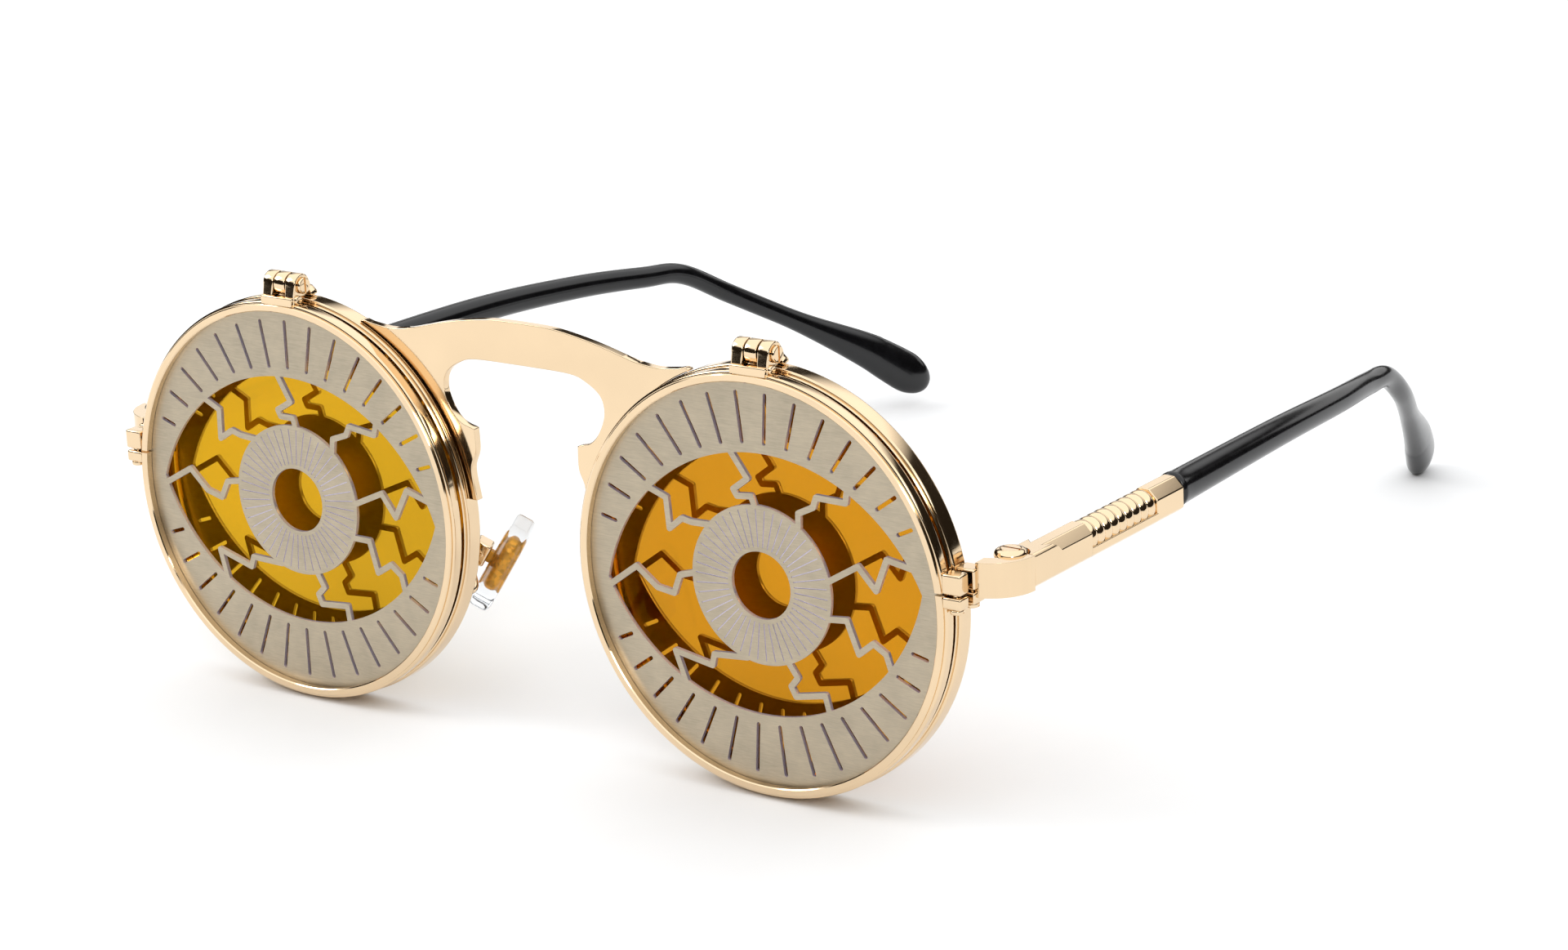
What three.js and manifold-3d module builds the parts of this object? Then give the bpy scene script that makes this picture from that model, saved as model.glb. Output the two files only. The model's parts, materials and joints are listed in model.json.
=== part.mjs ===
// Round flip-up sunglasses: a sheet-metal bridge, two lens rims with mirrored lenses, two flip-up
// fronts with pierced eye plates, spring-look metal temples with plastic sleeves, and nose pads.
// Millimetres. +Z is up, +X is the wearer's left, and the fronts look along -Y.
import * as THREE from 'three';
import { mergeVertices } from 'three/addons/utils/BufferGeometryUtils.js';
import Module from 'manifold-3d';

const wasm = await Module();
wasm.setup();

// ---------------------------------------------------------------- driving dimensions
const lensSpacing = 71.2;        // centre to centre of the two lenses
const rimSegments = 40;          // facets round a rim
const fit = 0.05;                // gap between pieces that are soldered, pressed or screwed together

const flipOuter = 26.0;          // outer radius of a flip-up rim
const flipLip = 24.7;            // radius inside its lips
const flipDepth = 1.9;           // front to back, from y = 0
const plateFront = 1.0;          // y of the eye plate's front face
const plateThick = 0.5;
const plateRadius = 25.2;

const mainOuter = 26.2;          // outer radius of a main rim
const mainLip = 24.6;
const mainFront = 2.5;           // y of its front face
const mainBack = 5.3;
const lensFront = 3.8;           // y of the lens's front face
const lensThick = 1.2;
const lensRadius = 25.5;

const lugHeight = 3.2;           // z of the slit in a rim's closing lugs
const slit = 0.3;                // width of that slit
const lugUp = 2.8;               // how far the upper lug stands above the slit's middle
const lugDown = 1.65;            // how far the lower lug hangs below it
const screwShaft = 0.5;          // radius of a rim closing screw
const screwHead = 0.85;

const bridgeFront = 3.3;         // y of the bridge plate's front face
const bridgeThick = 1.1;

const flipAxisY = 2.2;           // the flip-up hinge's axis, along X
const flipAxisZ = 28.0;
const knuckle = 1.5;             // its knuckles' outer radius
const flipPin = 0.55;            // its pin's radius

const armBottom = 2.3;           // z of a temple bar's underside
const armTop = 6.5;
const templeAxisX = 29.6;        // temple hinge axis, from the lens centre
const templeAxisY = 8.4;
const seamY = 8.7;               // where an end piece stops
const templeToe = -3.0;          // degrees that an open temple converges
const restSwing = 10.3;          // degrees that the right temple stands in from its open stop
const templeRise = { left: 0.9, right: 1.9 }; // degrees that a temple rises behind its hinge
const sleeveStart = 32.5;        // along the temple, from the hinge axis
const sleeveEnd = 136.0;
const coreEnd = 122.0;
const lean = 1.7;                // degrees that the rims lean back when it stands on a table

const goldLook = { color: 0xe9c491, roughness: 0.12, metalness: 1.0 };
const steelLook = { color: 0xb9aea0, roughness: 0.4, metalness: 0.9 };
const lensLook = { color: 0xd08a00, roughness: 0.05, metalness: 0.6 };
const sleeveLook = { color: 0x141416, roughness: 0.3, metalness: 0.0 };
const padLook = { color: 0xe8edf0, roughness: 0.2, metalness: 0.0 };

// ---------------------------------------------------------------- solids from three.js geometry
function toSolid(geometry) {
  const plain = geometry.clone();
  plain.deleteAttribute('normal');
  plain.deleteAttribute('uv');
  const merged = mergeVertices(plain, 1e-4);
  const points = merged.attributes.position.array;
  const order = Array.from(merged.index.array);
  let volume = 0;
  const corner = i => new THREE.Vector3().fromArray(points, 3 * order[i]);
  for (let i = 0; i < order.length; i += 3) {
    volume += corner(i).dot(corner(i + 1).cross(corner(i + 2)));
  }
  if (volume < 0) {
    order.reverse();
  }
  return new wasm.Manifold(new wasm.Mesh({
    numProp: 3,
    vertProperties: new Float32Array(points),
    triVerts: new Uint32Array(order),
  }));
}

function toGeometry(solid) {
  const mesh = solid.getMesh();
  const geometry = new THREE.BufferGeometry();
  geometry.setAttribute('position', new THREE.BufferAttribute(mesh.vertProperties, 3));
  geometry.setIndex(new THREE.BufferAttribute(mesh.triVerts, 1));
  return geometry;
}

function join(...solids) {
  return solids.reduce((whole, next) => whole.add(next));
}

function cut(solid, ...tools) {
  return tools.reduce((rest, tool) => rest.subtract(tool), solid);
}

function block([x0, x1], [y0, y1], [z0, z1]) {
  const geometry = new THREE.BoxGeometry(x1 - x0, y1 - y0, z1 - z0);
  return toSolid(geometry.translate((x0 + x1) / 2, (y0 + y1) / 2, (z0 + z1) / 2));
}

function rodX(radius, [x0, x1], y, z, sides = 16) {
  const geometry = new THREE.CylinderGeometry(radius, radius, x1 - x0, sides);
  return toSolid(geometry.rotateZ(-Math.PI / 2).translate((x0 + x1) / 2, y, z));
}

function rodY(radius, x, [y0, y1], z, sides = rimSegments) {
  const geometry = new THREE.CylinderGeometry(radius, radius, y1 - y0, sides);
  return toSolid(geometry.translate(x, (y0 + y1) / 2, z));
}

function rodZ(radius, x, y, [z0, z1], sides = 16) {
  const geometry = new THREE.CylinderGeometry(radius, radius, z1 - z0, sides);
  return toSolid(geometry.rotateX(Math.PI / 2).translate(x, y, (z0 + z1) / 2));
}

// A closed outline in X and Z, given its thickness along Y.
function sheet(outline, [y0, y1], curveSegments = 12) {
  const options = { depth: y1 - y0, bevelEnabled: false, curveSegments };
  const geometry = new THREE.ExtrudeGeometry(outline, options);
  return toSolid(geometry.rotateX(Math.PI / 2).translate(0, y1, 0));
}

// A closed outline in X and Y, given its height along Z.
function tower(outline, [z0, z1], curveSegments = 12) {
  const options = { depth: z1 - z0, bevelEnabled: false, curveSegments };
  return toSolid(new THREE.ExtrudeGeometry(outline, options).translate(0, 0, z0));
}

// A profile of [radius, y] corners turned about the Y axis.
function turned(corners, segments = rimSegments) {
  const points = corners.map(([radius, y]) => new THREE.Vector2(radius, y));
  points.push(points[0].clone());
  return toSolid(new THREE.LatheGeometry(points, segments));
}

// A closed skin over oval sections that follow a curve: half[0] wide and half[1] high at each step.
function loft(curve, steps, sides, halfAt) {
  const points = [];
  const order = [];
  for (let i = 0; i <= steps; i += 1) {
    const along = i / steps;
    const centre = curve.getPointAt(along);
    const ahead = curve.getTangentAt(along);
    const wide = new THREE.Vector3(1, 0, 0).addScaledVector(ahead, -ahead.x).normalize();
    const high = new THREE.Vector3().crossVectors(wide, ahead);
    const half = halfAt(along);
    for (let k = 0; k < sides; k += 1) {
      const turn = 2 * Math.PI * k / sides;
      const point = centre.clone();
      point.addScaledVector(wide, half[0] * Math.cos(turn));
      point.addScaledVector(high, half[1] * Math.sin(turn));
      points.push(point.x, point.y, point.z);
    }
  }
  for (const along of [0, 1]) {
    const centre = curve.getPointAt(along);
    points.push(centre.x, centre.y, centre.z);
  }
  const first = (steps + 1) * sides;
  for (let k = 0; k < sides; k += 1) {
    const next = (k + 1) % sides;
    for (let i = 0; i < steps; i += 1) {
      const a = i * sides + k;
      const b = i * sides + next;
      order.push(a, b, b + sides, a, b + sides, a + sides);
    }
    order.push(first, next, k);
    order.push(first + 1, steps * sides + k, steps * sides + next);
  }
  const geometry = new THREE.BufferGeometry();
  geometry.setAttribute('position', new THREE.Float32BufferAttribute(points, 3));
  geometry.setIndex(order);
  return toSolid(geometry);
}

// The same piece for the other side of the face.
function mirrored(geometry) {
  const copy = geometry.clone().scale(-1, 1, 1);
  copy.setIndex(Array.from(copy.index.array).reverse());
  return copy;
}

// ---------------------------------------------------------------- rims, lenses and their screws
// Every rim piece is made round x = 0, with its lugs on the +X side.
function rimWithLugs(profile, outer, groove, [y0, y1], screwX) {
  const lugX = [groove + 0.1, screwX + 1.05];
  const lugs = block(lugX, [y0, y1], [lugHeight - lugDown, lugHeight + lugUp]);
  const screwY = (y0 + y1) / 2;
  const hole = rodZ(screwShaft + fit, screwX, screwY, [lugHeight - 2 * lugDown, lugHeight + 2.2]);
  const gap = block([groove - 2, outer + 4], [y0 - 1, y1 + 1], [lugHeight - slit / 2, lugHeight + slit / 2]);
  return cut(join(turned(profile), lugs), hole, gap);
}

function closingScrew(screwX, screwY) {
  const underLug = lugHeight - lugDown - fit;
  const shaft = rodZ(screwShaft, screwX, screwY, [underLug - 0.1, lugHeight + 2.1], 14);
  const head = rodZ(screwHead, screwX, screwY, [underLug - 0.6, underLug], 18);
  const slot = block([screwX - 1, screwX + 1], [screwY - 0.12, screwY + 0.12], [underLug - 0.7, underLug - 0.35]);
  return cut(join(shaft, head), slot);
}

const plateGroove = plateRadius + 0.1;
const flipScrewX = flipOuter + 0.95;
const flipLugY = [0, flipDepth];
const flipRim = rimWithLugs([
  [flipLip, 0],
  [flipOuter, 0],
  [flipOuter, flipDepth],
  [flipLip, flipDepth],
  [flipLip, plateFront + plateThick + fit],
  [plateGroove, plateFront + plateThick + fit],
  [plateGroove, plateFront - fit],
  [flipLip, plateFront - fit],
], flipOuter, plateGroove, flipLugY, flipScrewX);
const flipScrew = closingScrew(flipScrewX, flipDepth / 2);

const lensGroove = lensRadius + 0.12;
const mainScrewX = mainOuter + 0.95;
const mainLugY = [mainFront + 0.2, mainBack - 0.2];
const mainRim = rimWithLugs([
  [mainLip, mainFront],
  [mainOuter, mainFront],
  [mainOuter, mainBack],
  [mainLip, mainBack],
  [mainLip, lensFront + lensThick + fit],
  [lensGroove, lensFront + lensThick + fit],
  [lensGroove, lensFront - fit],
  [mainLip, lensFront - fit],
], mainOuter, lensGroove, mainLugY, mainScrewX);
const mainScrew = closingScrew(mainScrewX, (mainFront + mainBack) / 2);
const lens = rodY(lensRadius, 0, [lensFront, lensFront + lensThick], 0);

// ---------------------------------------------------------------- pierced eye plate
const almondHalf = 22.4;         // half the eye opening's length
const almondRise = 16.1;         // how far its lids bow above and below the middle
const irisOuter = 9.8;
const pupil = 4.15;
const lashes = 15;               // slots in each lid
const lashStep = 10.1;           // degrees from one to the next
const lashOuter = 23.3;          // radius of their outer ends
const lashWide = 0.5;
const veinWide = 0.75;
// Zigzag veins, each from the iris out to the edge of the opening.
const veins = [
  [[-5, 7], [-8.9, 7.3], [-10.3, 7.7], [-12.3, 6.4], [-12.2, 10.2], [-16.4, 12.2]],
  [[0.7, 9], [0.2, 10.8], [-1.8, 10.8], [-2.2, 11.6], [0, 12.9], [-2.4, 17]],
  [[6.2, 6.2], [6.6, 9], [8.8, 9.8], [9.4, 11], [13.4, 10.5], [14, 12.6]],
  [[8.6, 0.5], [14, 3], [16.1, 0.2], [18.1, 4], [21.6, 3]],
  [[8.4, -3.6], [11.5, -3.6], [12.6, -7.6], [14.8, -6.2], [16.4, -7.4], [17.2, -11]],
  [[2.3, -9], [3.5, -11.1], [2.4, -12.2], [2.9, -13.4], [7.1, -13], [7.6, -16.5]],
  [[-3.4, -9], [-8.2, -8.9], [-8.7, -10.3], [-13.9, -8.8], [-12.4, -14.6]],
  [[-9, 1.2], [-11.7, 0.7], [-12.9, -1.6], [-15.3, -1], [-18, 1.5], [-23.4, -1.6]],
];

const lidRadius = (almondHalf ** 2 + almondRise ** 2) / (2 * almondRise);

// How far from the middle the eye opening's edge is, in a direction given in degrees.
function lidReach(degrees) {
  const turn = THREE.MathUtils.degToRad(degrees);
  const drop = (lidRadius - almondRise) * Math.abs(Math.sin(turn));
  return -drop + Math.sqrt(drop ** 2 + lidRadius ** 2 - (lidRadius - almondRise) ** 2);
}

function almond() {
  const sweep = Math.asin(almondHalf / lidRadius);
  const outline = new THREE.Shape();
  outline.absarc(0, almondRise - lidRadius, lidRadius, Math.PI / 2 - sweep, Math.PI / 2 + sweep, false);
  outline.absarc(0, lidRadius - almondRise, lidRadius, 1.5 * Math.PI - sweep, 1.5 * Math.PI + sweep, false);
  return outline;
}

// A flat bar between two points in X and Z, longer at each end by its overrun.
function bar([x0, z0], [x1, z1], wide, y, overrun = 0) {
  const run = Math.hypot(x1 - x0, z1 - z0) + 2 * overrun;
  const geometry = new THREE.BoxGeometry(run, y[1] - y[0], wide);
  geometry.rotateY(-Math.atan2(z1 - z0, x1 - x0));
  return toSolid(geometry.translate((x0 + x1) / 2, (y[0] + y[1]) / 2, (z0 + z1) / 2));
}

function eyePlate() {
  const y = [plateFront, plateFront + plateThick];
  const through = [y[0] - 1, y[1] + 1];
  let plate = cut(rodY(plateRadius, 0, y, 0), sheet(almond(), through, 12));
  for (const vein of veins) {
    for (let i = 1; i < vein.length; i += 1) {
      plate = join(plate, bar(vein[i - 1], vein[i], veinWide, y, veinWide / 3));
    }
  }
  plate = cut(join(plate, rodY(irisOuter, 0, y, 0, 32)), rodY(pupil, 0, through, 0, 20));
  for (const lid of [90, -90]) {
    for (let i = 0; i < lashes; i += 1) {
      const degrees = lid + (i - (lashes - 1) / 2) * lashStep;
      const turn = THREE.MathUtils.degToRad(degrees);
      const inner = Math.max(lidReach(degrees) + 1.3, 17.3);
      const ends = [lashOuter, Math.min(inner, lashOuter - 1.8)];
      const [outside, inside] = ends.map(r => [r * Math.cos(turn), r * Math.sin(turn)]);
      plate = cut(plate, bar(outside, inside, lashWide, through));
    }
  }
  return plate;
}

// ---------------------------------------------------------------- bridge plate
function bridgePlate() {
  const half = [
    [0, 26.8],
    [4.6, 26.7],
    [8.3, 26.2],
    [11.8, 25.5],
    [15.3, 24.6],
    [17.4, 24.1],
    [20.4, 23.8],
    [23.4, 24.1],
    [24.6, 24.3],
    [25.1, 23.4],
  ];
  const arch = [
    [8.1, 3.3],
    [8.7, 7.2],
    [7.9, 9.6],
    [7.9, 12.5],
    [10.0, 13.2],
    [11.4, 14.8],
    [12.2, 17.1],
    [11.7, 19.2],
    [9.6, 20.7],
    [7, 21.4],
    [0, 21.5],
  ];
  const top = new THREE.SplineCurve(half.slice(0, 8).map(([x, z]) => new THREE.Vector2(x, z)));
  const under = new THREE.SplineCurve(arch.slice(3).map(([x, z]) => new THREE.Vector2(x, z)));
  const wing = new THREE.SplineCurve(arch.slice(0, 4).map(([x, z]) => new THREE.Vector2(x, z)));
  const right = [
    ...top.getPoints(14),
    new THREE.Vector2(...half[8]),
    new THREE.Vector2(...half[9]),
    new THREE.Vector2(15, 3.3),
    ...wing.getPoints(6).slice(0, -1),
    ...under.getPoints(18),
  ];
  const left = right.map(point => new THREE.Vector2(-point.x, point.y)).reverse();
  const outline = new THREE.Shape([...right, ...left.slice(1, -1)]);
  const y = [bridgeFront, bridgeFront + bridgeThick];
  const plate = sheet(outline, y);
  const clear = [y[0] - 1, y[1] + 1];
  const rimCuts = [-1, 1].map(side => rodY(mainOuter + fit, side * lensSpacing / 2, clear, 0));
  return cut(plate, ...rimCuts);
}

// ---------------------------------------------------------------- flip-up hinge on top of a rim
const earX = [1.0, 2.6];
function hingeRod(radius, x, sides = 16) {
  return rodX(radius, x, flipAxisY, flipAxisZ, sides);
}

function flipLeaf() {
  const foot = flipOuter + fit;
  let leaf = block([-earX[1], earX[1]], [0.15, 1.2], [foot, flipAxisZ - 1.3]);
  for (const side of [-1, 1]) {
    const x = [side * earX[0], side * earX[1]].sort((a, b) => a - b);
    leaf = join(leaf, hingeRod(knuckle, x), block(x, [0.3, flipDepth], [foot, flipAxisZ]));
  }
  return cut(leaf, hingeRod(flipPin + fit, [-4, 4]));
}

function mainLeaf() {
  const foot = mainOuter + fit;
  const x = [-0.85, 0.85];
  const stem = block(x, [2.8, 4.3], [foot, flipAxisZ]);
  const pad = block([-2.4, 2.4], [4.1, mainBack], [foot, foot + 0.9]);
  return cut(join(hingeRod(knuckle, x), stem, pad), hingeRod(flipPin + 0.1, [-4, 4]));
}

function flipHingePin() {
  const shaft = hingeRod(flipPin, [-earX[1], earX[1] + 0.2], 14);
  const head = hingeRod(1.05, [earX[1] + fit, earX[1] + 0.55], 18);
  const slot = block([earX[1] + 0.3, earX[1] + 1], [flipAxisY - 0.12, flipAxisY + 0.12], [flipAxisZ - 2, flipAxisZ + 2]);
  return cut(join(shaft, head), slot);
}

// ---------------------------------------------------------------- end piece and temple hinge
const earTop = [5.5, 7.0];       // z of the upper hinge ear, and below it the lower one
const earLow = [armBottom, 3.2];
const ear = 2.0;                 // the hinge ears' radius
const hingeScrew = 0.6;

function endPiece() {
  const centre = [27.2, seamY];
  const outer = 5.4;
  const inner = 3.4;
  const outline = new THREE.Shape();
  outline.absarc(...centre, outer, -Math.PI / 2, 0, false);
  outline.absarc(...centre, inner, 0, -Math.PI / 2, true);
  const elbow = tower(outline, [armBottom, armTop], 14);
  const ears = join(
    rodZ(ear, templeAxisX, templeAxisY, earTop),
    rodZ(ear, templeAxisX, templeAxisY, earLow),
  );
  const slot = rodZ(ear + 0.2, templeAxisX, templeAxisY, [earLow[1], earTop[0]]);
  const screwHole = rodZ(hingeScrew + fit, templeAxisX, templeAxisY, [0, 10]);
  const headSeat = rodZ(1.25 + fit, templeAxisX, templeAxisY, [earTop[1] - 0.45, 10]);
  const lugSide = block([20, mainScrewX + 1.05 + fit], [0, 20], [0, 10]);
  return cut(join(elbow, ears), slot, screwHole, headSeat, lugSide);
}

function templeScrew() {
  const shaft = rodZ(hingeScrew, templeAxisX, templeAxisY, [armBottom + 0.1, earTop[1] - 0.2], 14);
  const head = rodZ(1.25, templeAxisX, templeAxisY, [earTop[1] - 0.4, earTop[1] + 0.1], 18);
  const slot = block(
    [templeAxisX - 2, templeAxisX + 2],
    [templeAxisY - 0.15, templeAxisY + 0.15],
    [earTop[1] - 0.2, earTop[1] + 1],
  );
  return cut(join(shaft, head), slot);
}

// ---------------------------------------------------------------- temple, in a frame on its hinge
// The hinge axis is x = 0, y = 0. +X is outwards and +Y runs back along the temple.
const barMid = 0.85;             // x of the bar's middle
const barHalf = 2.0;
const armMid = (armBottom + armTop) / 2;
const armHalf = (armTop - armBottom) / 2;
const ribs = 9;
const ribStart = 12.6;
const ribPitch = 1.55;
const coreRadius = 0.7;

function facetedBar([y0, y1], shrink, chamfer) {
  const w = barHalf - shrink;
  const h = armHalf - shrink;
  const outline = new THREE.Shape([
    [w, -h + 0.4],
    [w, h - chamfer],
    [w - chamfer, h],
    [-w + chamfer, h],
    [-w, h - chamfer],
    [-w, -h + 0.4],
    [-w + 0.4, -h],
    [w - 0.4, -h],
  ].map(([x, z]) => new THREE.Vector2(barMid + x, armMid + z)));
  return sheet(outline, [y0, y1]);
}

function templeArm() {
  const start = seamY - templeAxisY + 0.25;
  const tongue = [earLow[1] + 0.1, earTop[0] - 0.1];
  let arm = join(
    facetedBar([start, 6], 0, 0.4),
    facetedBar([6, sleeveStart - fit], 0, 1.1),
  );
  arm = cut(arm, rodZ(ear + 0.25, 0, 0, [armBottom - 1, tongue[0]]), rodZ(ear + 0.25, 0, 0, [tongue[1], armTop + 1]));
  const knuckleBody = join(rodZ(ear, 0, 0, tongue), block([-1.1, 1.6], [0, 2], tongue));
  arm = cut(join(arm, knuckleBody), rodZ(hingeScrew + 0.08, 0, 0, [0, 10]));
  for (let i = 0; i < ribs; i += 1) {
    const y = [ribStart + i * ribPitch, ribStart + i * ribPitch + 0.6];
    const above = block([barMid - 4, barMid + 4], y, [armMid + 0.3, armTop + 2]);
    arm = cut(arm, cut(above, facetedBar([y[0] - 1, y[1] + 1], 0.45, 1.1)));
  }
  const socket = rodY(coreRadius + fit, barMid, [sleeveStart - 4, sleeveStart + 1], armMid, 12);
  return cut(arm, socket);
}

const sleeveLine = new THREE.CatmullRomCurve3([
  [barMid, sleeveStart, armMid],
  [barMid - 0.7, 58, armMid],
  [barMid - 2.3, 76, armMid - 1.0],
  [barMid - 4.5, 88, armMid - 2.2],
  [barMid - 5.7, 95, armMid - 3.3],
  [barMid - 7.7, 103, armMid - 8.1],
  [barMid - 12.5, 114, armMid - 15.1],
  [barMid - 16.8, 124, armMid - 21.6],
  [barMid - 20.4, 132, armMid - 28.1],
].map(point => new THREE.Vector3(...point)));

// Half sizes of the sleeve's oval section: a slim leg that grows into a flat rounded paddle.
function sleeveHalf(along) {
  const mouth = along < 0.012 ? 0.75 : 1;
  const tipRound = Math.sqrt(Math.max(1 - Math.max((along - 0.955) / 0.046, 0) ** 2, 0.02));
  const paddle = THREE.MathUtils.smoothstep(along, 0.74, 0.97);
  const slim = Math.min(along / 0.6, 1);
  const wide = THREE.MathUtils.lerp(2.05, 1.4, slim) + 0.6 * paddle;
  const high = THREE.MathUtils.lerp(2.2, 1.45, slim) + 1.75 * paddle;
  return [wide * mouth * tipRound, high * mouth * tipRound];
}

const coreFraction = (coreEnd - sleeveStart) / (sleeveEnd - sleeveStart);
const coreLine = new THREE.CatmullRomCurve3(
  [new THREE.Vector3(barMid, sleeveStart - 3.8, armMid)].concat(
    [0, 0.25, 0.45, 0.52, 0.6, 0.7, 0.8, coreFraction].map(along => sleeveLine.getPointAt(along)),
  ),
);

function templeSleeve() {
  const skin = loft(sleeveLine, 22, 10, sleeveHalf);
  const bore = loft(coreLine, 14, 8, () => [coreRadius + 0.12, coreRadius + 0.12]);
  return cut(skin, bore);
}

function templeCore() {
  const wire = loft(coreLine, 14, 8, () => [coreRadius - 0.02, coreRadius - 0.02]);
  const tail = coreLine.getPointAt(1);
  return cut(wire, block([-20, 20], [tail.y - 0.6, tail.y + 5], [-40, 20]));
}

// ---------------------------------------------------------------- nose pads, for the +X side
const padCentre = [12.2, 12.3, -8.0];
const padSplay = -28;            // degrees about Z
const padLean = -31;             // degrees about Y
const padHalf = [1.5, 3.9, 6.0]; // thickness, width and length, halved

// Pieces in the pad's frame: -X faces the nose, +Z runs along the pad.
function nosePad() {
  const ball = new THREE.SphereGeometry(1, 16, 10).scale(...padHalf);
  const pocket = block([-0.45, 3], [-1.95, 1.95], [-3.65, 3.65]);
  return cut(toSolid(ball), pocket);
}

function padInsert() {
  const plate = block([-0.4, 0.3], [-1.9, 1.9], [-3.6, 3.6]);
  const post = block([0.25, 3.5], [-0.55, 0.55], [-0.8, 0.8]);
  const hole = toSolid(new THREE.CylinderGeometry(0.4, 0.4, 4, 12).translate(2.8, 0, 0));
  return cut(join(plate, post), hole);
}

function padBox() {
  const shell = block([1.95, 4.1], [-1.35, 1.35], [-1.5, 1.5]);
  const hollow = block([1, 3.7], [-0.75, 0.75], [-1.15, 1.15]);
  const hole = toSolid(new THREE.CylinderGeometry(0.35, 0.35, 4, 12).translate(2.8, 0, 0));
  return cut(shell, hollow, hole);
}

function padPin() {
  const shaft = new THREE.CylinderGeometry(0.3, 0.3, 2.9, 12).translate(2.8, 0.05, 0);
  const head = new THREE.CylinderGeometry(0.6, 0.6, 0.4, 14).translate(2.8, 1.6, 0);
  return join(toSolid(shaft), toSolid(head));
}

const padTurn = new THREE.Euler(
  0,
  THREE.MathUtils.degToRad(padLean),
  THREE.MathUtils.degToRad(padSplay),
  'ZYX',
);

function fromPad(x, y, z) {
  const point = new THREE.Vector3(x, y, z).applyEuler(padTurn);
  return point.add(new THREE.Vector3(...padCentre));
}

// A wire from the rim's back, up over a bend and down to the outer face of the pad's box.
function padArm() {
  const route = [
    new THREE.Vector3(12.0, mainBack + 0.25, -9.7),
    new THREE.Vector3(12.2, 6.6, -9.3),
    new THREE.Vector3(13.6, 7.4, -6.5),
    new THREE.Vector3(15.2, 7.8, -3.4),
    new THREE.Vector3(16.7, 8.4, -1.8),
    new THREE.Vector3(17.8, 9.0, -2.6),
    new THREE.Vector3(18.0, 9.2, -4.8),
    fromPad(5.6, 0, 0.3),
    fromPad(4.25, 0, 0),
  ];
  return loft(new THREE.CatmullRomCurve3(route), 16, 8, () => [0.5, 0.5]);
}

// ---------------------------------------------------------------- the assembly
const sunglasses = new THREE.Group();

function add(parent, name, geometry, look) {
  const mesh = new THREE.Mesh(geometry, new THREE.MeshStandardMaterial(look));
  mesh.name = name;
  parent.add(mesh);
  return mesh;
}

const plateTilt = { left: 6.0, right: -0.5 };  // degrees that each eye plate sits turned in its rim
const pieces = {
  flipRim: toGeometry(flipRim),
  flipScrew: toGeometry(flipScrew),
  eyePlate: toGeometry(eyePlate()),
  flipLeaf: toGeometry(flipLeaf()),
  flipPin: toGeometry(flipHingePin()),
  mainRim: toGeometry(mainRim),
  mainScrew: toGeometry(mainScrew),
  lens: toGeometry(lens),
  mainLeaf: toGeometry(mainLeaf()),
  endPiece: toGeometry(endPiece()),
  templeScrew: toGeometry(templeScrew()),
  templeArm: toGeometry(templeArm()),
  templeSleeve: toGeometry(templeSleeve()),
  templeCore: toGeometry(templeCore()),
  nosePad: toGeometry(nosePad()),
  padInsert: toGeometry(padInsert()),
  padBox: toGeometry(padBox()),
  padPin: toGeometry(padPin()),
  padArm: toGeometry(padArm()),
};

add(sunglasses, 'bridge_plate', toGeometry(bridgePlate()), goldLook);

for (const side of ['left', 'right']) {
  const sign = side === 'left' ? 1 : -1;
  const handed = geometry => (sign > 0 ? geometry.clone() : mirrored(geometry));
  const front = new THREE.Group();
  front.position.x = sign * lensSpacing / 2;
  sunglasses.add(front);
  add(front, `rim_${side}`, handed(pieces.mainRim), goldLook);
  add(front, `rim_screw_${side}`, handed(pieces.mainScrew), goldLook);
  add(front, `lens_${side}`, handed(pieces.lens), lensLook);
  add(front, `end_piece_${side}`, handed(pieces.endPiece), goldLook);
  add(front, `temple_screw_${side}`, handed(pieces.templeScrew), goldLook);
  add(front, `rim_hinge_leaf_${side}`, pieces.mainLeaf.clone(), goldLook);
  add(front, `flip_rim_${side}`, handed(pieces.flipRim), goldLook);
  add(front, `flip_screw_${side}`, handed(pieces.flipScrew), goldLook);
  add(front, `flip_hinge_leaf_${side}`, pieces.flipLeaf.clone(), goldLook);
  add(front, `flip_hinge_pin_${side}`, pieces.flipPin.clone(), goldLook);
  const plate = add(front, `eye_plate_${side}`, pieces.eyePlate.clone(), steelLook);
  plate.rotation.y = -THREE.MathUtils.degToRad(plateTilt[side]);

  const hinge = new THREE.Group();
  hinge.position.set(sign * templeAxisX, templeAxisY, armMid);
  const turnedIn = THREE.MathUtils.degToRad(templeToe + (side === 'right' ? restSwing : 0));
  const rise = THREE.MathUtils.degToRad(templeRise[side]);
  hinge.rotation.set(rise, 0, sign * turnedIn, 'ZYX');
  front.add(hinge);
  const temple = new THREE.Group();
  temple.position.z = -armMid;
  hinge.add(temple);
  add(temple, `temple_arm_${side}`, handed(pieces.templeArm), goldLook);
  add(temple, `temple_core_${side}`, handed(pieces.templeCore), steelLook);
  add(temple, `temple_sleeve_${side}`, handed(pieces.templeSleeve), sleeveLook);

  add(sunglasses, `pad_arm_${side}`, handed(pieces.padArm), goldLook);
  const pad = new THREE.Group();
  pad.position.set(sign * padCentre[0], padCentre[1], padCentre[2]);
  pad.rotation.set(0, sign * padTurn.y, sign * padTurn.z, padTurn.order);
  sunglasses.add(pad);
  add(pad, `pad_box_${side}`, handed(pieces.padBox), goldLook);
  add(pad, `pad_pin_${side}`, handed(pieces.padPin), goldLook);
  add(pad, `nose_pad_${side}`, handed(pieces.nosePad), padLook);
  add(pad, `pad_insert_${side}`, handed(pieces.padInsert), goldLook);
}

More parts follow.
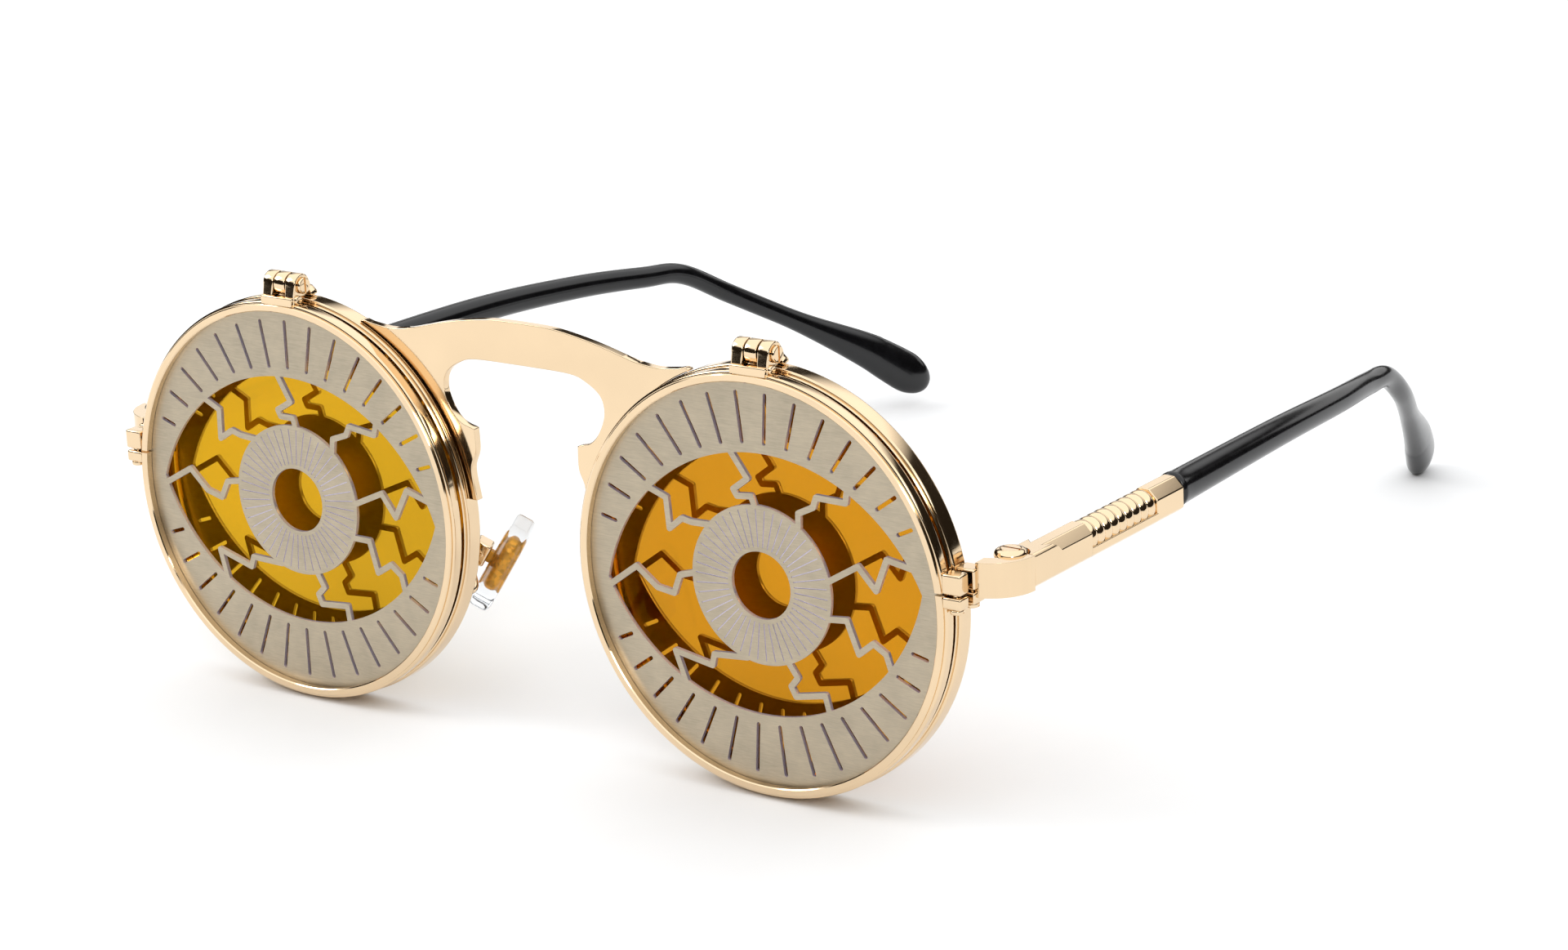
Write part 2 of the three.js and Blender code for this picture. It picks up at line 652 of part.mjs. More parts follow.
// It stands on the rims and the temple tips, and the origin is on the table under the middle of the
// whole outline.
sunglasses.rotation.x = -THREE.MathUtils.degToRad(lean);
const outline = new THREE.Box3().setFromObject(sunglasses, true);
const middle = outline.getCenter(new THREE.Vector3());
sunglasses.position.set(-middle.x, -middle.y, -outline.min.z);

export default sunglasses;
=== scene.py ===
"""Round flip-up sunglasses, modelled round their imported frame.

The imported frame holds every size, place and joint. This file is laid out as an add-on: property
groups with the sizes and colours, one operator for each group of pieces, and a sidebar panel.
Pieces are drawn in the rims' own frame, where y = 0 is the flip-up rims' front and z = 0 is the
height of the lens centres, and are then set down in the frame's place.
"""
import json
import math

import bpy
from bpy.props import FloatProperty, FloatVectorProperty, IntProperty, PointerProperty
from mathutils import Euler, Matrix, Vector


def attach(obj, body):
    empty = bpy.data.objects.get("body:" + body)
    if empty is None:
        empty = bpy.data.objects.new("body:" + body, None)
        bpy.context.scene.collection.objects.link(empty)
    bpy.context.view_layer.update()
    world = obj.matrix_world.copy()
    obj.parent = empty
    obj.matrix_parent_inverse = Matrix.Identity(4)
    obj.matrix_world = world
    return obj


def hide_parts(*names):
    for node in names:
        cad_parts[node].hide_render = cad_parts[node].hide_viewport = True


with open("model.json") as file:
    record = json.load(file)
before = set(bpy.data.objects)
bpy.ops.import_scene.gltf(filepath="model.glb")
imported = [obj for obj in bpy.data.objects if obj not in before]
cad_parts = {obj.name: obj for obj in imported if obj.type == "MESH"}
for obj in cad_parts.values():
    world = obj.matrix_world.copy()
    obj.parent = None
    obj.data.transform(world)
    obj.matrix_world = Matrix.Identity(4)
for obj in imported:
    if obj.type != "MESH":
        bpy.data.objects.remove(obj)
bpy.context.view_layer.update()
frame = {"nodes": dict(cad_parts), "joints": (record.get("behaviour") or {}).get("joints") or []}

bl_info = {
    "name": "Flip-up round sunglasses",
    "version": (1, 0, 0),
    "blender": (4, 5, 0),
    "location": "View3D > Sidebar > Eyewear",
    "description": "Gold rims with mirrored lenses, flip-up pierced eye plates and sleeved temples",
    "category": "Object",
}

MM = 0.001
SIDES = {"left": 1, "right": -1}

# ------------------------- places taken from the frame
joints = {joint["name"]: joint for joint in frame["joints"]}
FLIP_AXIS = (2.2 * MM, 28.0 * MM)      # y and z of the flip-up hinges in the rims' frame
TEMPLE_AXIS_Y = 8.4 * MM
BAR_MIDDLE = 4.4 * MM
TEMPLE_TOE = {"left": -3.0, "right": 7.3}  # degrees that each temple stands in
TEMPLE_RISE = {"left": 0.9, "right": 1.9}  # degrees that each temple rises behind its hinge
PLATE_TILT = {"left": 6.0, "right": -0.5}  # degrees that each eye plate sits turned
PAD_CENTRE = Vector((12.2, 12.3, -8.0)) * MM
PAD_LEAN = math.radians(-31.0)             # about Y
PAD_SPLAY = math.radians(-28.0)            # about Z

_, _axis_y, _axis_z = joints["temple_left_hinge"]["axis"]
_lean = Matrix.Rotation(-math.atan2(_axis_y, _axis_z), 4, "X")
_flips = [Vector(joints[f"flip_{side}_hinge"]["pos_m"]) for side in SIDES]
_temples = [joints[f"temple_{side}_hinge"]["pos_m"][0] for side in SIDES]
LENS_X = (_flips[0].x - _flips[1].x) / 2
TEMPLE_X = (_temples[0] - _temples[1]) / 2
_middle = (_flips[0] + _flips[1]) / 2
RIMS = Matrix.Translation(_middle - _lean @ Vector((0, *FLIP_AXIS))) @ _lean


def lens_place(side):
    """The frame of one lens: its centre, with the rims' front at y = 0."""
    return RIMS @ Matrix.Translation((SIDES[side] * LENS_X, 0, 0))


def temple_place(side):
    """The frame of one temple on its hinge, at rest."""
    sign = SIDES[side]
    turn = Matrix.Rotation(math.radians(sign * TEMPLE_TOE[side]), 4, "Z")
    turn = turn @ Matrix.Rotation(math.radians(TEMPLE_RISE[side]), 4, "X")
    hinge = Matrix.Translation((sign * TEMPLE_X, TEMPLE_AXIS_Y, BAR_MIDDLE))
    return RIMS @ hinge @ turn @ Matrix.Translation((0, 0, -BAR_MIDDLE))


def pad_place(side):
    """The frame of one nose pad: -X faces the nose on the left, +X on the right."""
    sign = SIDES[side]
    centre = (sign * PAD_CENTRE.x, PAD_CENTRE.y, PAD_CENTRE.z)
    turn = Matrix.Rotation(sign * PAD_SPLAY, 4, "Z") @ Matrix.Rotation(sign * PAD_LEAN, 4, "Y")
    return RIMS @ Matrix.Translation(centre) @ turn


# ------------------------- sizes and colours
def linear(hex_colour):
    """An sRGB hex colour as linear red, green, blue and alpha."""
    values = [int(hex_colour[i:i + 2], 16) / 255 for i in (1, 3, 5)]
    return (*[v / 12.92 if v <= 0.04045 else ((v + 0.055) / 1.055) ** 2.4 for v in values], 1.0)


def length(name, description, millimetres):
    return FloatProperty(name=name, description=description, default=millimetres * MM, unit="LENGTH")


def colour(name, description, hex_colour):
    return FloatVectorProperty(
        name=name, description=description, default=linear(hex_colour), size=4, subtype="COLOR"
    )


class RimSizes(bpy.types.PropertyGroup):
    flip_outer: length("Flip rim radius", "Outer radius of a flip-up rim", 26.0)
    flip_lip: length("Flip lip radius", "Radius inside a flip-up rim's lips", 24.7)
    flip_depth: length("Flip rim depth", "A flip-up rim from front to back", 1.9)
    main_outer: length("Rim radius", "Outer radius of a lens rim", 26.2)
    main_lip: length("Rim lip radius", "Radius inside a lens rim's lips", 24.6)
    main_front: length("Rim front", "Where a lens rim starts behind the flip rim's front", 2.5)
    main_back: length("Rim back", "Where a lens rim ends", 5.3)
    lens_front: length("Lens front", "Where a lens starts", 3.8)
    lens_thick: length("Lens thickness", "Thickness of a lens", 1.2)
    lens_radius: length("Lens radius", "Radius of a lens", 25.5)
    lug_height: length("Lug slit", "Height of the slit in a rim's closing lugs", 3.2)


class PlateSizes(bpy.types.PropertyGroup):
    front: length("Plate front", "Where an eye plate starts behind the rim's front", 1.0)
    thick: length("Plate thickness", "Thickness of an eye plate", 0.5)
    radius: length("Plate radius", "Radius of an eye plate", 25.2)
    almond_half: length("Almond half length", "Half the length of the eye opening", 22.4)
    almond_rise: length("Almond rise", "How far a lid bows from the middle", 16.1)
    iris: length("Iris radius", "Outer radius of the iris ring", 9.8)
    pupil: length("Pupil radius", "Radius of the pupil hole", 4.15)
    vein: length("Vein width", "Width of the zigzag veins", 0.75)
    lash: length("Slot width", "Width of the slots round the eye", 0.5)
    lashes: IntProperty(name="Slots", description="Slots in each lid", default=15)
    rays: IntProperty(name="Iris rays", description="Engraved lines round the iris", default=46)


class TempleSizes(bpy.types.PropertyGroup):
    bar_low: length("Bar underside", "Height of a temple bar's underside", 2.3)
    bar_high: length("Bar top", "Height of a temple bar's top", 6.5)
    sleeve_start: length("Sleeve mouth", "Where the sleeve starts behind the hinge", 32.5)
    ribs: IntProperty(name="Ribs", description="Ribs of the spring-look stretch", default=9)


class Finishes(bpy.types.PropertyGroup):
    gold: colour("Gold", "Light gold plating", "#E9CFAB")
    steel: colour("Steel", "Brushed steel of the eye plates", "#BAAE99")
    cut_edge: colour("Cut edge", "Bright edge that the cutting beam leaves", "#D6CEDD")
    # The two ambers are one mirror coat; their difference is a painted shift of its colour with viewing
    # angle.
    amber_left_with_painted_shift: colour("Amber, wearer's left", "Mirror coating of the left lens", "#D29000")
    amber_right_with_painted_shift: colour("Amber, wearer's right", "Mirror coating of the right lens", "#D6A400")
    sleeve: colour("Sleeve", "Black plastic of the temple sleeves", "#0C0C0E")
    pad: colour("Pad", "Clear silicone of the nose pads", "#F4F6F8")


class SunglassesSettings(bpy.types.PropertyGroup):
    rim: PointerProperty(type=RimSizes, name="Rims")
    plate: PointerProperty(type=PlateSizes, name="Eye plates")
    temple: PointerProperty(type=TempleSizes, name="Temples")
    finish: PointerProperty(type=Finishes, name="Finishes")


def settings():
    return bpy.context.scene.sunglasses


# ------------------------- modelling by hand, in code
def deselect():
    if bpy.context.object and bpy.context.object.mode != "OBJECT":
        bpy.ops.object.mode_set(mode="OBJECT")
    bpy.ops.object.select_all(action="DESELECT")


def activate(piece):
    deselect()
    piece.select_set(True)
    bpy.context.view_layer.objects.active = piece


def new_piece(name):
    """Names the primitive that was just added and puts its place in its mesh."""
    piece = bpy.context.object
    piece.name = name
    piece.data.name = name
    bpy.ops.object.transform_apply()
    return piece


def slab(name, outline, low, high, axis="Y"):
    """Draws a closed outline point by point, fills it and gives it its thickness along an axis."""
    def spot(a, b):
        return Vector({"X": (low, a, b), "Y": (a, low, b), "Z": (a, b, low)}[axis])

    points = [spot(a, b) for a, b in outline]
    deselect()
    bpy.ops.mesh.primitive_plane_add(size=MM, location=points[0])
    piece = new_piece(name)
    bpy.ops.object.mode_set(mode="EDIT")
    bpy.ops.mesh.merge(type="CENTER")
    for last, point in zip(points, points[1:] + points[:1]):
        bpy.ops.mesh.extrude_vertices_move(TRANSFORM_OT_translate={"value": point - last})
    bpy.ops.mesh.select_all(action="SELECT")
    bpy.ops.mesh.remove_doubles(threshold=0.002 * MM)
    bpy.ops.mesh.edge_face_add()
    depth = {"X": (high - low, 0, 0), "Y": (0, high - low, 0), "Z": (0, 0, high - low)}[axis]
    bpy.ops.mesh.extrude_region_move(TRANSFORM_OT_translate={"value": depth})
    outwards()
    return piece


def edit_all():
    bpy.ops.object.mode_set(mode="EDIT")
    bpy.ops.mesh.select_all(action="SELECT")


def outwards():
    """Points every face of the piece in edit mode outwards and leaves edit mode."""
    bpy.ops.mesh.select_all(action="SELECT")
    bpy.ops.mesh.normals_make_consistent(inside=False)
    bpy.ops.object.mode_set(mode="OBJECT")


def turned(name, profile, segments=128):
    """Sweeps a closed profile of (radius, y) round the Y axis, one extruded loop after another."""
    deselect()
    radius, y = profile[0]
    bpy.ops.mesh.primitive_circle_add(
        vertices=segments, radius=radius, location=(0, y, 0), rotation=(math.pi / 2, 0, 0)
    )
    piece = new_piece(name)
    bpy.ops.object.mode_set(mode="EDIT")
    for new_radius, new_y in profile[1:] + profile[:1]:
        bpy.ops.mesh.extrude_region_move(TRANSFORM_OT_translate={"value": (0, new_y - y, 0)})
        scale = new_radius / radius
        bpy.ops.transform.resize(value=(scale, 1, scale), center_override=(0, new_y, 0))
        radius, y = new_radius, new_y
    bpy.ops.mesh.select_all(action="SELECT")
    bpy.ops.mesh.remove_doubles(threshold=0.002 * MM)
    outwards()
    return piece


def lofted(name, sections, sides=28):
    """A closed skin over ovals across Y, each (centre, half width, half height, lean about X)."""
    deselect()
    centre, wide, high, lean = sections[0]
    bpy.ops.mesh.primitive_circle_add(
        vertices=sides, radius=wide, location=centre, rotation=(math.pi / 2, 0, 0), fill_type="NGON"
    )
    piece = new_piece(name)
    bpy.ops.object.mode_set(mode="EDIT")
    bpy.ops.transform.resize(value=(1, 1, high / wide), center_override=centre)
    for new_centre, new_wide, new_high, new_lean in sections[1:]:
        step = Vector(new_centre) - Vector(centre)
        bpy.ops.mesh.extrude_region_move(TRANSFORM_OT_translate={"value": step})
        scale = (new_wide / wide, new_high / high, new_high / high)
        bpy.ops.transform.resize(value=scale, center_override=new_centre)
        if new_lean != lean:
            bpy.ops.transform.rotate(
                value=lean - new_lean, orient_axis="X", center_override=new_centre
            )
        centre, wide, high, lean = new_centre, new_wide, new_high, new_lean
    outwards()
    return piece


def rod(name, radius, low, high, centre, axis, sides=40, edge=0.12):
    """A round bar from low to high along an axis, through a centre on the two other axes."""
    deselect()
    middle = (low + high) / 2
    spot = {"X": (middle, *centre), "Y": (centre[0], middle, centre[1]), "Z": (*centre, middle)}
    turn = {"X": (0, math.pi / 2, 0), "Y": (math.pi / 2, 0, 0), "Z": (0, 0, 0)}
    bpy.ops.mesh.primitive_cylinder_add(
        vertices=sides, radius=radius, depth=high - low, location=spot[axis], rotation=turn[axis]
    )
    piece = new_piece(name)
    if edge:
        round_edges(piece, edge * MM)
    return piece


def box(name, x, y, z, edge=0.15):
    """A block between two values along each axis, with rounded edges."""
    deselect()
    centre = [(low + high) / 2 for low, high in (x, y, z)]
    size = [high - low for low, high in (x, y, z)]
    bpy.ops.mesh.primitive_cube_add(size=1, location=centre, scale=size)
    piece = new_piece(name)
    if edge:
        round_edges(piece, edge * MM)
    return piece


def modify(piece, kind, **values):
    """Adds a modifier with its values and applies it."""
    activate(piece)
    modifier = piece.modifiers.new(kind.title(), kind)
    for key, value in values.items():
        setattr(modifier, key, value)
    bpy.ops.object.modifier_apply(modifier=modifier.name)


def round_edges(piece, width, segments=3, angle=35):
    limit = math.radians(angle)
    modify(piece, "BEVEL", width=width, segments=segments, limit_method="ANGLE", angle_limit=limit)


def combine(piece, tool, operation="DIFFERENCE", crossing=False):
    """Cuts a piece by a tool, or keeps only what they share, and removes the tool."""
    modify(piece, "BOOLEAN", object=tool, operation=operation, solver="EXACT", use_self=crossing)
    bpy.data.objects.remove(tool)


def gather(name, parts):
    """Joins several solids into one piece."""
    deselect()
    for part in parts:
        part.select_set(True)
    bpy.context.view_layer.objects.active = parts[0]
    bpy.ops.object.join()
    piece = bpy.context.object
    piece.name = name
    piece.data.name = name
    return piece


def copy_of(piece, name):
    activate(piece)
    bpy.ops.object.duplicate()
    twin = bpy.context.object
    twin.name = name
    twin.data.name = name
    return twin


def move_by(piece, matrix):
    """Moves a piece by a matrix and puts its place in its mesh."""
    piece.matrix_world = matrix
    activate(piece)
    bpy.ops.object.transform_apply()


def turn_about_y(piece, degrees):
    """Turns a piece about the lens axis; positive is anticlockwise seen from the front."""
    move_by(piece, Matrix.Rotation(math.radians(-degrees), 4, "Y"))


def set_down(piece, place, mirror=False):
    """Puts the piece in its place, mirrored for the wearer's right side if asked."""
    flip = Matrix.Diagonal((-1, 1, 1, 1)) if mirror else Matrix.Identity(4)
    move_by(piece, place @ flip)
    bpy.ops.object.mode_set(mode="EDIT")
    outwards()


def complete(piece, body, slot, nodes, *materials, angle=40):
    """Gives a placed piece its smooth faces, materials and body, and hides the nodes it stands for. The slot
    is not used.
    """
    activate(piece)
    bpy.ops.object.shade_smooth_by_angle(angle=math.radians(angle))
    modify(piece, "WEIGHTED_NORMAL", keep_sharp=True, weight=50)
    piece.data.materials.clear()
    for material in materials:
        piece.data.materials.append(material)
    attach(piece, body)
    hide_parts(*nodes)


def only_gold(_side):
    return (gold_plating(),)


def both_sides(piece, stem, place, body, slot="gold_plate", make_materials=only_gold, mirror=True):
    """Sets a left piece down for its CAD node, and its twin on the wearer's right."""
    twin = copy_of(piece, f"{stem}_right_shape")
    piece.name = f"{stem}_left_shape"
    for side, shape in (("left", piece), ("right", twin)):
        set_down(shape, place(side), mirror=mirror and side == "right")
        home = body if body == "front" else f"{body}_{side}"
        complete(shape, home, slot, [f"{stem}_{side}"], *make_materials(side))


def flowing(points, steps=8):
    """A smooth curve through the points, as a list of points of the same kind."""
    knots = [Vector(point) for point in points]
    knots = [2 * knots[0] - knots[1], *knots, 2 * knots[-1] - knots[-2]]
    made = []
    for a, b, c, d in zip(knots, knots[1:], knots[2:], knots[3:]):
        for i in range(steps):
            t = i / steps
            made.append(0.5 * (
                2 * b + (c - a) * t + (2 * a - 5 * b + 4 * c - d) * t * t
                + (3 * b - a - 3 * c + d) * t ** 3
            ))
    return [*made, knots[-2]]


def arc(centre, radius, start, end, steps):
    """Points on an arc in a plane, from one angle in degrees to another."""
    turns = [math.radians(start + (end - start) * i / steps) for i in range(steps + 1)]
    return [(centre[0] + radius * math.cos(t), centre[1] + radius * math.sin(t)) for t in turns]


def scaled(points):
    return [tuple(value * MM for value in point) for point in points]


# ------------------------- materials
def join_up(tree, node, values=None, links=None):
    """Sets a node's values and joins its sockets. A node given as a source means its first output."""
    for key, value in (values or {}).items():
        if isinstance(key, int) or key in node.inputs:
            node.inputs[key].default_value = value
        else:
            setattr(node, key, value)
    for key, source in (links or {}).items():
        socket = source.outputs[0] if isinstance(source, bpy.types.Node) else source
        tree.links.new(socket, node.inputs[key])
    return node


def add_node(tree, kind, values=None, links=None):
    """Adds one shader node with its values and links."""
    return join_up(tree, tree.nodes.new(kind), values, links)


def finish(name):
    """Turns a function that draws a shader into one that gives its material, drawn only once."""
    def keep(draw):
        def fetch(*side):
            full_name = "_".join((name, *side))
            material = bpy.data.materials.get(full_name)
            if material is None:
                material = bpy.data.materials.new(full_name)
                material.use_nodes = True
                tree = material.node_tree
                place = add_node(tree, "ShaderNodeTexCoord").outputs["Object"]
                draw(tree, tree.nodes["Principled BSDF"], place, *side)
            return material
        return fetch
    return keep


def ramp(tree, factor, *stops):
    """A colour ramp with (position, colour) stops."""
    node = add_node(tree, "ShaderNodeValToRGB", links={"Fac": factor})
    elements = node.color_ramp.elements
    while len(elements) < len(stops):
        elements.new(0.5)
    for element, (position, value) in zip(elements, stops):
        element.position = position
        element.color = value
    return node.outputs["Color"]


def shade(value, amount):
    """A linear colour made lighter or darker."""
    return (*[min(channel * amount, 1.0) for channel in value[:3]], 1.0)


def mottled(tree, place, value, size, detail, *stops):
    """Noise patches of a size in metres, and a colour that drifts with them between its own shades."""
    values = {"Scale": 1 / size, "Detail": detail}
    noise = add_node(tree, "ShaderNodeTexNoise", values, {"Vector": place})
    return noise, ramp(tree, noise, *[(position, shade(value, amount)) for position, amount in stops])


@finish("gold_plated_brass")
def gold_plating(tree, shader, place):
    """Polished brass with a light gold flash: a clear mirror whose tone drifts a little and whose
    polishing left hairlines too faint to read as scratches."""
    _, tone = mottled(tree, place, settings().finish.gold, 9 * MM, 2.0, (0.3, 0.97), (0.7, 1.03))
    stretch = add_node(tree, "ShaderNodeMapping", {"Scale": (1.0, 1.0, 12.0)}, {"Vector": place})
    hairlines = add_node(
        tree, "ShaderNodeTexNoise", {"Scale": 1 / (1.2 * MM), "Detail": 3.0}, {"Vector": stretch}
    )
    gloss = add_node(tree, "ShaderNodeMapRange", {"To Min": 0.05, "To Max": 0.11}, {"Value": hairlines})
    ripple = add_node(
        tree, "ShaderNodeBump", {"Strength": 0.03, "Distance": 0.02 * MM}, {"Height": hairlines}
    )
    join_up(tree, shader, {"Metallic": 1.0}, {"Base Color": tone, "Roughness": gloss, "Normal": ripple})


@finish("brushed_stainless_sheet")
def brushed_steel(tree, shader, place):
    """Stainless sheet with a fine crossed hand brushing: a soft grey that mottles as the grain turns,
    with short scratches 0.12 mm apart."""
    steel = settings().finish.steel
    cloud = add_node(
        tree, "ShaderNodeTexNoise", {"Scale": 1 / (3.2 * MM), "Detail": 5.0}, {"Vector": place}
    )
    strokes = []
    for degrees in (38, -47):
        turned_place = add_node(
            tree, "ShaderNodeMapping",
            {"Rotation": (0, math.radians(degrees), 0), "Scale": (1.0, 1.0, 14.0)}, {"Vector": place},
        )
        strokes.append(add_node(
            tree, "ShaderNodeTexNoise", {"Scale": 1 / (1.7 * MM), "Detail": 6.0, "Distortion": 0.6},
            {"Vector": turned_place},
        ))
    grain = add_node(
        tree, "ShaderNodeMix", {"data_type": "FLOAT"}, {0: cloud, 2: strokes[0], 3: strokes[1]}
    )
    tone = add_node(tree, "ShaderNodeMath", {"operation": "MULTIPLY_ADD", 1: 0.45, 2: 0.28}, {0: cloud})
    mixed = add_node(tree, "ShaderNodeMath", {"operation": "MULTIPLY_ADD", 1: 0.55}, {0: grain, 2: tone})
    look = ramp(
        tree, mixed, (0.50, shade(steel, 0.74)), (0.68, shade(steel, 0.95)), (0.90, shade(steel, 1.22))
    )
    rough = add_node(tree, "ShaderNodeMapRange", {"To Min": 0.34, "To Max": 0.56}, {"Value": cloud})
    bump = add_node(tree, "ShaderNodeBump", {"Strength": 0.22, "Distance": 0.02 * MM}, {"Height": grain})
    join_up(tree, shader, {"Metallic": 1.0}, {"Base Color": look, "Roughness": rough, "Normal": bump})


@finish("beam_cut_steel_edge")
def cut_steel(tree, shader, place):
    """The melted edge that a cutting beam leaves on steel sheet: a pale, slightly violet satin with
    fine ribs through the thickness."""
    edge = settings().finish.cut_edge
    ribs, tone = mottled(tree, place, edge, 0.15 * MM, 2.0, (0.3, 0.85), (0.7, 1.1))
    bump = add_node(tree, "ShaderNodeBump", {"Strength": 0.2, "Distance": 0.01 * MM}, {"Height": ribs})
    join_up(tree, shader, {"Metallic": 0.55, "Roughness": 0.3}, {"Base Color": tone, "Normal": bump})


@finish("amber_mirror_coat")
def amber_mirror(tree, shader, place, side):
    """A lens with an evaporated amber mirror coat: it reflects like tinted metal, lets a little light
    through, and the coat's thickness drifts slowly across the lens. The two lenses are given two ambers, a
    painted shift of the one coat's colour with viewing angle."""
    # Each lens takes its own amber: a painted viewing-angle shift of the one coat.
    amber = settings().finish.amber_left_with_painted_shift if side == "left" else settings().finish.amber_right_with_painted_shift
    _, tone = mottled(tree, place, amber, 40 * MM, 1.0, (0.35, 0.94), (0.65, 1.05))
    haze = add_node(tree, "ShaderNodeTexNoise", {"Scale": 1 / (6 * MM), "Detail": 3.0}, {"Vector": place})
    gloss = add_node(tree, "ShaderNodeMapRange", {"To Min": 0.015, "To Max": 0.04}, {"Value": haze})
    values = {"Metallic": 0.75, "Transmission Weight": 1.0, "IOR": 1.5}
    join_up(tree, shader, values, {"Base Color": tone, "Roughness": gloss})


@finish("pressed_amber_foil")
def amber_foil(tree, shader, place):
    """Pressed amber foil: flakes half a millimetre across, each a lighter or darker amber that is a painted
    glint.
    """
    flakes = add_node(tree, "ShaderNodeTexVoronoi", {"Scale": 1 / (0.5 * MM)}, {"Vector": place})
    painted_glint = add_node(tree, "ShaderNodeSeparateColor", links={"Color": flakes.outputs["Color"]})
    foil = linear("#D9982B")
    # Each flake's lighter or darker amber is a painted glint, not a tilted flake.
    tone = ramp(tree, painted_glint, (0.1, shade(foil, 0.75)), (0.9, shade(foil, 1.25)))
    join_up(tree, shader, {"Metallic": 0.5, "Roughness": 0.35}, {"Base Color": tone})


@finish("tumbled_black_acetate")
def black_acetate(tree, shader, place):
    """Moulded and tumbled black acetate: deep gloss with a faint orange peel 1.5 mm across."""
    black = settings().finish.sleeve
    peel, tone = mottled(tree, place, black, 1.5 * MM, 2.0, (0.3, 0.8), (0.7, 1.3))
    gloss = add_node(tree, "ShaderNodeMapRange", {"To Min": 0.12, "To Max": 0.2}, {"Value": peel})
    bump = add_node(tree, "ShaderNodeBump", {"Strength": 0.05, "Distance": 0.02 * MM}, {"Height": peel})
    join_up(tree, shader, {"IOR": 1.48}, {"Base Color": tone, "Roughness": gloss, "Normal": bump})


@finish("cast_clear_silicone")
def clear_silicone(tree, shader, place):
    """Cast clear silicone: water-clear with a soft skin, so edges glow and the insert shows through."""
    clear = settings().finish.pad
    skin, tone = mottled(tree, place, clear, 2 * MM, 2.0, (0.3, 0.96), (0.7, 1.0))
    gloss = add_node(tree, "ShaderNodeMapRange", {"To Min": 0.03, "To Max": 0.12}, {"Value": skin})
    values = {"Transmission Weight": 1.0, "IOR": 1.2}
    join_up(tree, shader, values, {"Base Color": tone, "Roughness": gloss})


@finish("drawn_steel_wire")
def drawn_steel(tree, shader, place):
    """Drawn steel wire: a bright metal with fine lines along its length."""
    _, tone = mottled(tree, place, linear("#B9BABC"), 0.4 * MM, 2.0, (0.3, 0.85), (0.7, 1.05))
    join_up(tree, shader, {"Metallic": 1.0, "Roughness": 0.25}, {"Base Color": tone})


# ------------------------- rims, lugs and lenses
GROOVE_CLEAR = 0.1 * MM
SLIT = 0.3 * MM
LUG_UP = 2.6 * MM
LUG_DOWN = 1.6 * MM
LUG_REACH = 2.0 * MM     # how far a lug stands out of its rim


def rim_profile(lip, outer, front, back, groove, seat):
    """A rim's section as (radius, y): a flat front lip, a fine step, and a rounded outer band with a
    groove inside for what the rim holds."""
    crisp = 0.12 * MM
    step = outer - 0.36 * MM
    soft = 0.4 * MM
    band = front + 0.3 * MM
    outside = [(step - crisp, front), (step, front + crisp), (step, band)]
    outside += arc((outer - 0.3 * MM, band + 0.3 * MM), 0.3 * MM, -90, 0, 4)
    outside += arc((outer - soft, back - soft), soft, 0, 90, 4)
    return [
        (lip, front + crisp), (lip + crisp, front), *outside, (lip + crisp, back), (lip, back - crisp),
        (lip, seat[1]), (groove, seat[1]), (groove, seat[0]), (lip, seat[0]),
    ]


def rim_with_lugs(name, profile, outer, y_range):
    """One rim, slit at its closing lugs on the outer side."""
    height = settings().rim.lug_height
    ring = turned(name, profile, 160)
    slit = (height - SLIT / 2, height + SLIT / 2)
    across = (outer - 2.5 * MM, outer + 2 * MM)
    deep = (y_range[0] - MM, y_range[1] + MM)
    combine(ring, box("slit_tool", across, deep, slit, edge=0))
    reach = (outer - 0.5 * MM, outer + LUG_REACH)
    upper = box("upper_lug", reach, y_range, (slit[1], height + LUG_UP), edge=0.28)
    lower = box("lower_lug", reach, y_range, (height - LUG_DOWN, slit[0]), edge=0.28)
    return gather(name, [ring, upper, lower])


def slotted_screw(name, radius, head, shaft_from, shaft_to, head_to, centre, axis):
    """A cheese-head screw: shaft, rounded head and a driver slot."""
    sign = 1 if head_to > shaft_to else -1
    shaft = rod("shaft", radius, *sorted((shaft_from, shaft_to)), centre, axis, 24, 0.08)
    cap = rod("cap", head, *sorted((shaft_to, head_to)), centre, axis, 40, 0.18)
    deep = sorted((head_to - sign * 0.28 * MM, head_to + sign * MM))
    wide = (-0.16 * MM, 0.16 * MM)
    across = (-2 * MM, 2 * MM)
    spread = {
        "X": (deep, [centre[0] + v for v in wide], [centre[1] + v for v in across]),
        "Y": ([centre[0] + v for v in wide], deep, [centre[1] + v for v in across]),
        "Z": ([centre[0] + v for v in across], [centre[1] + v for v in wide], deep),
    }[axis]
    combine(cap, box("slot_tool", *spread, edge=0))
    return gather(name, [shaft, cap])


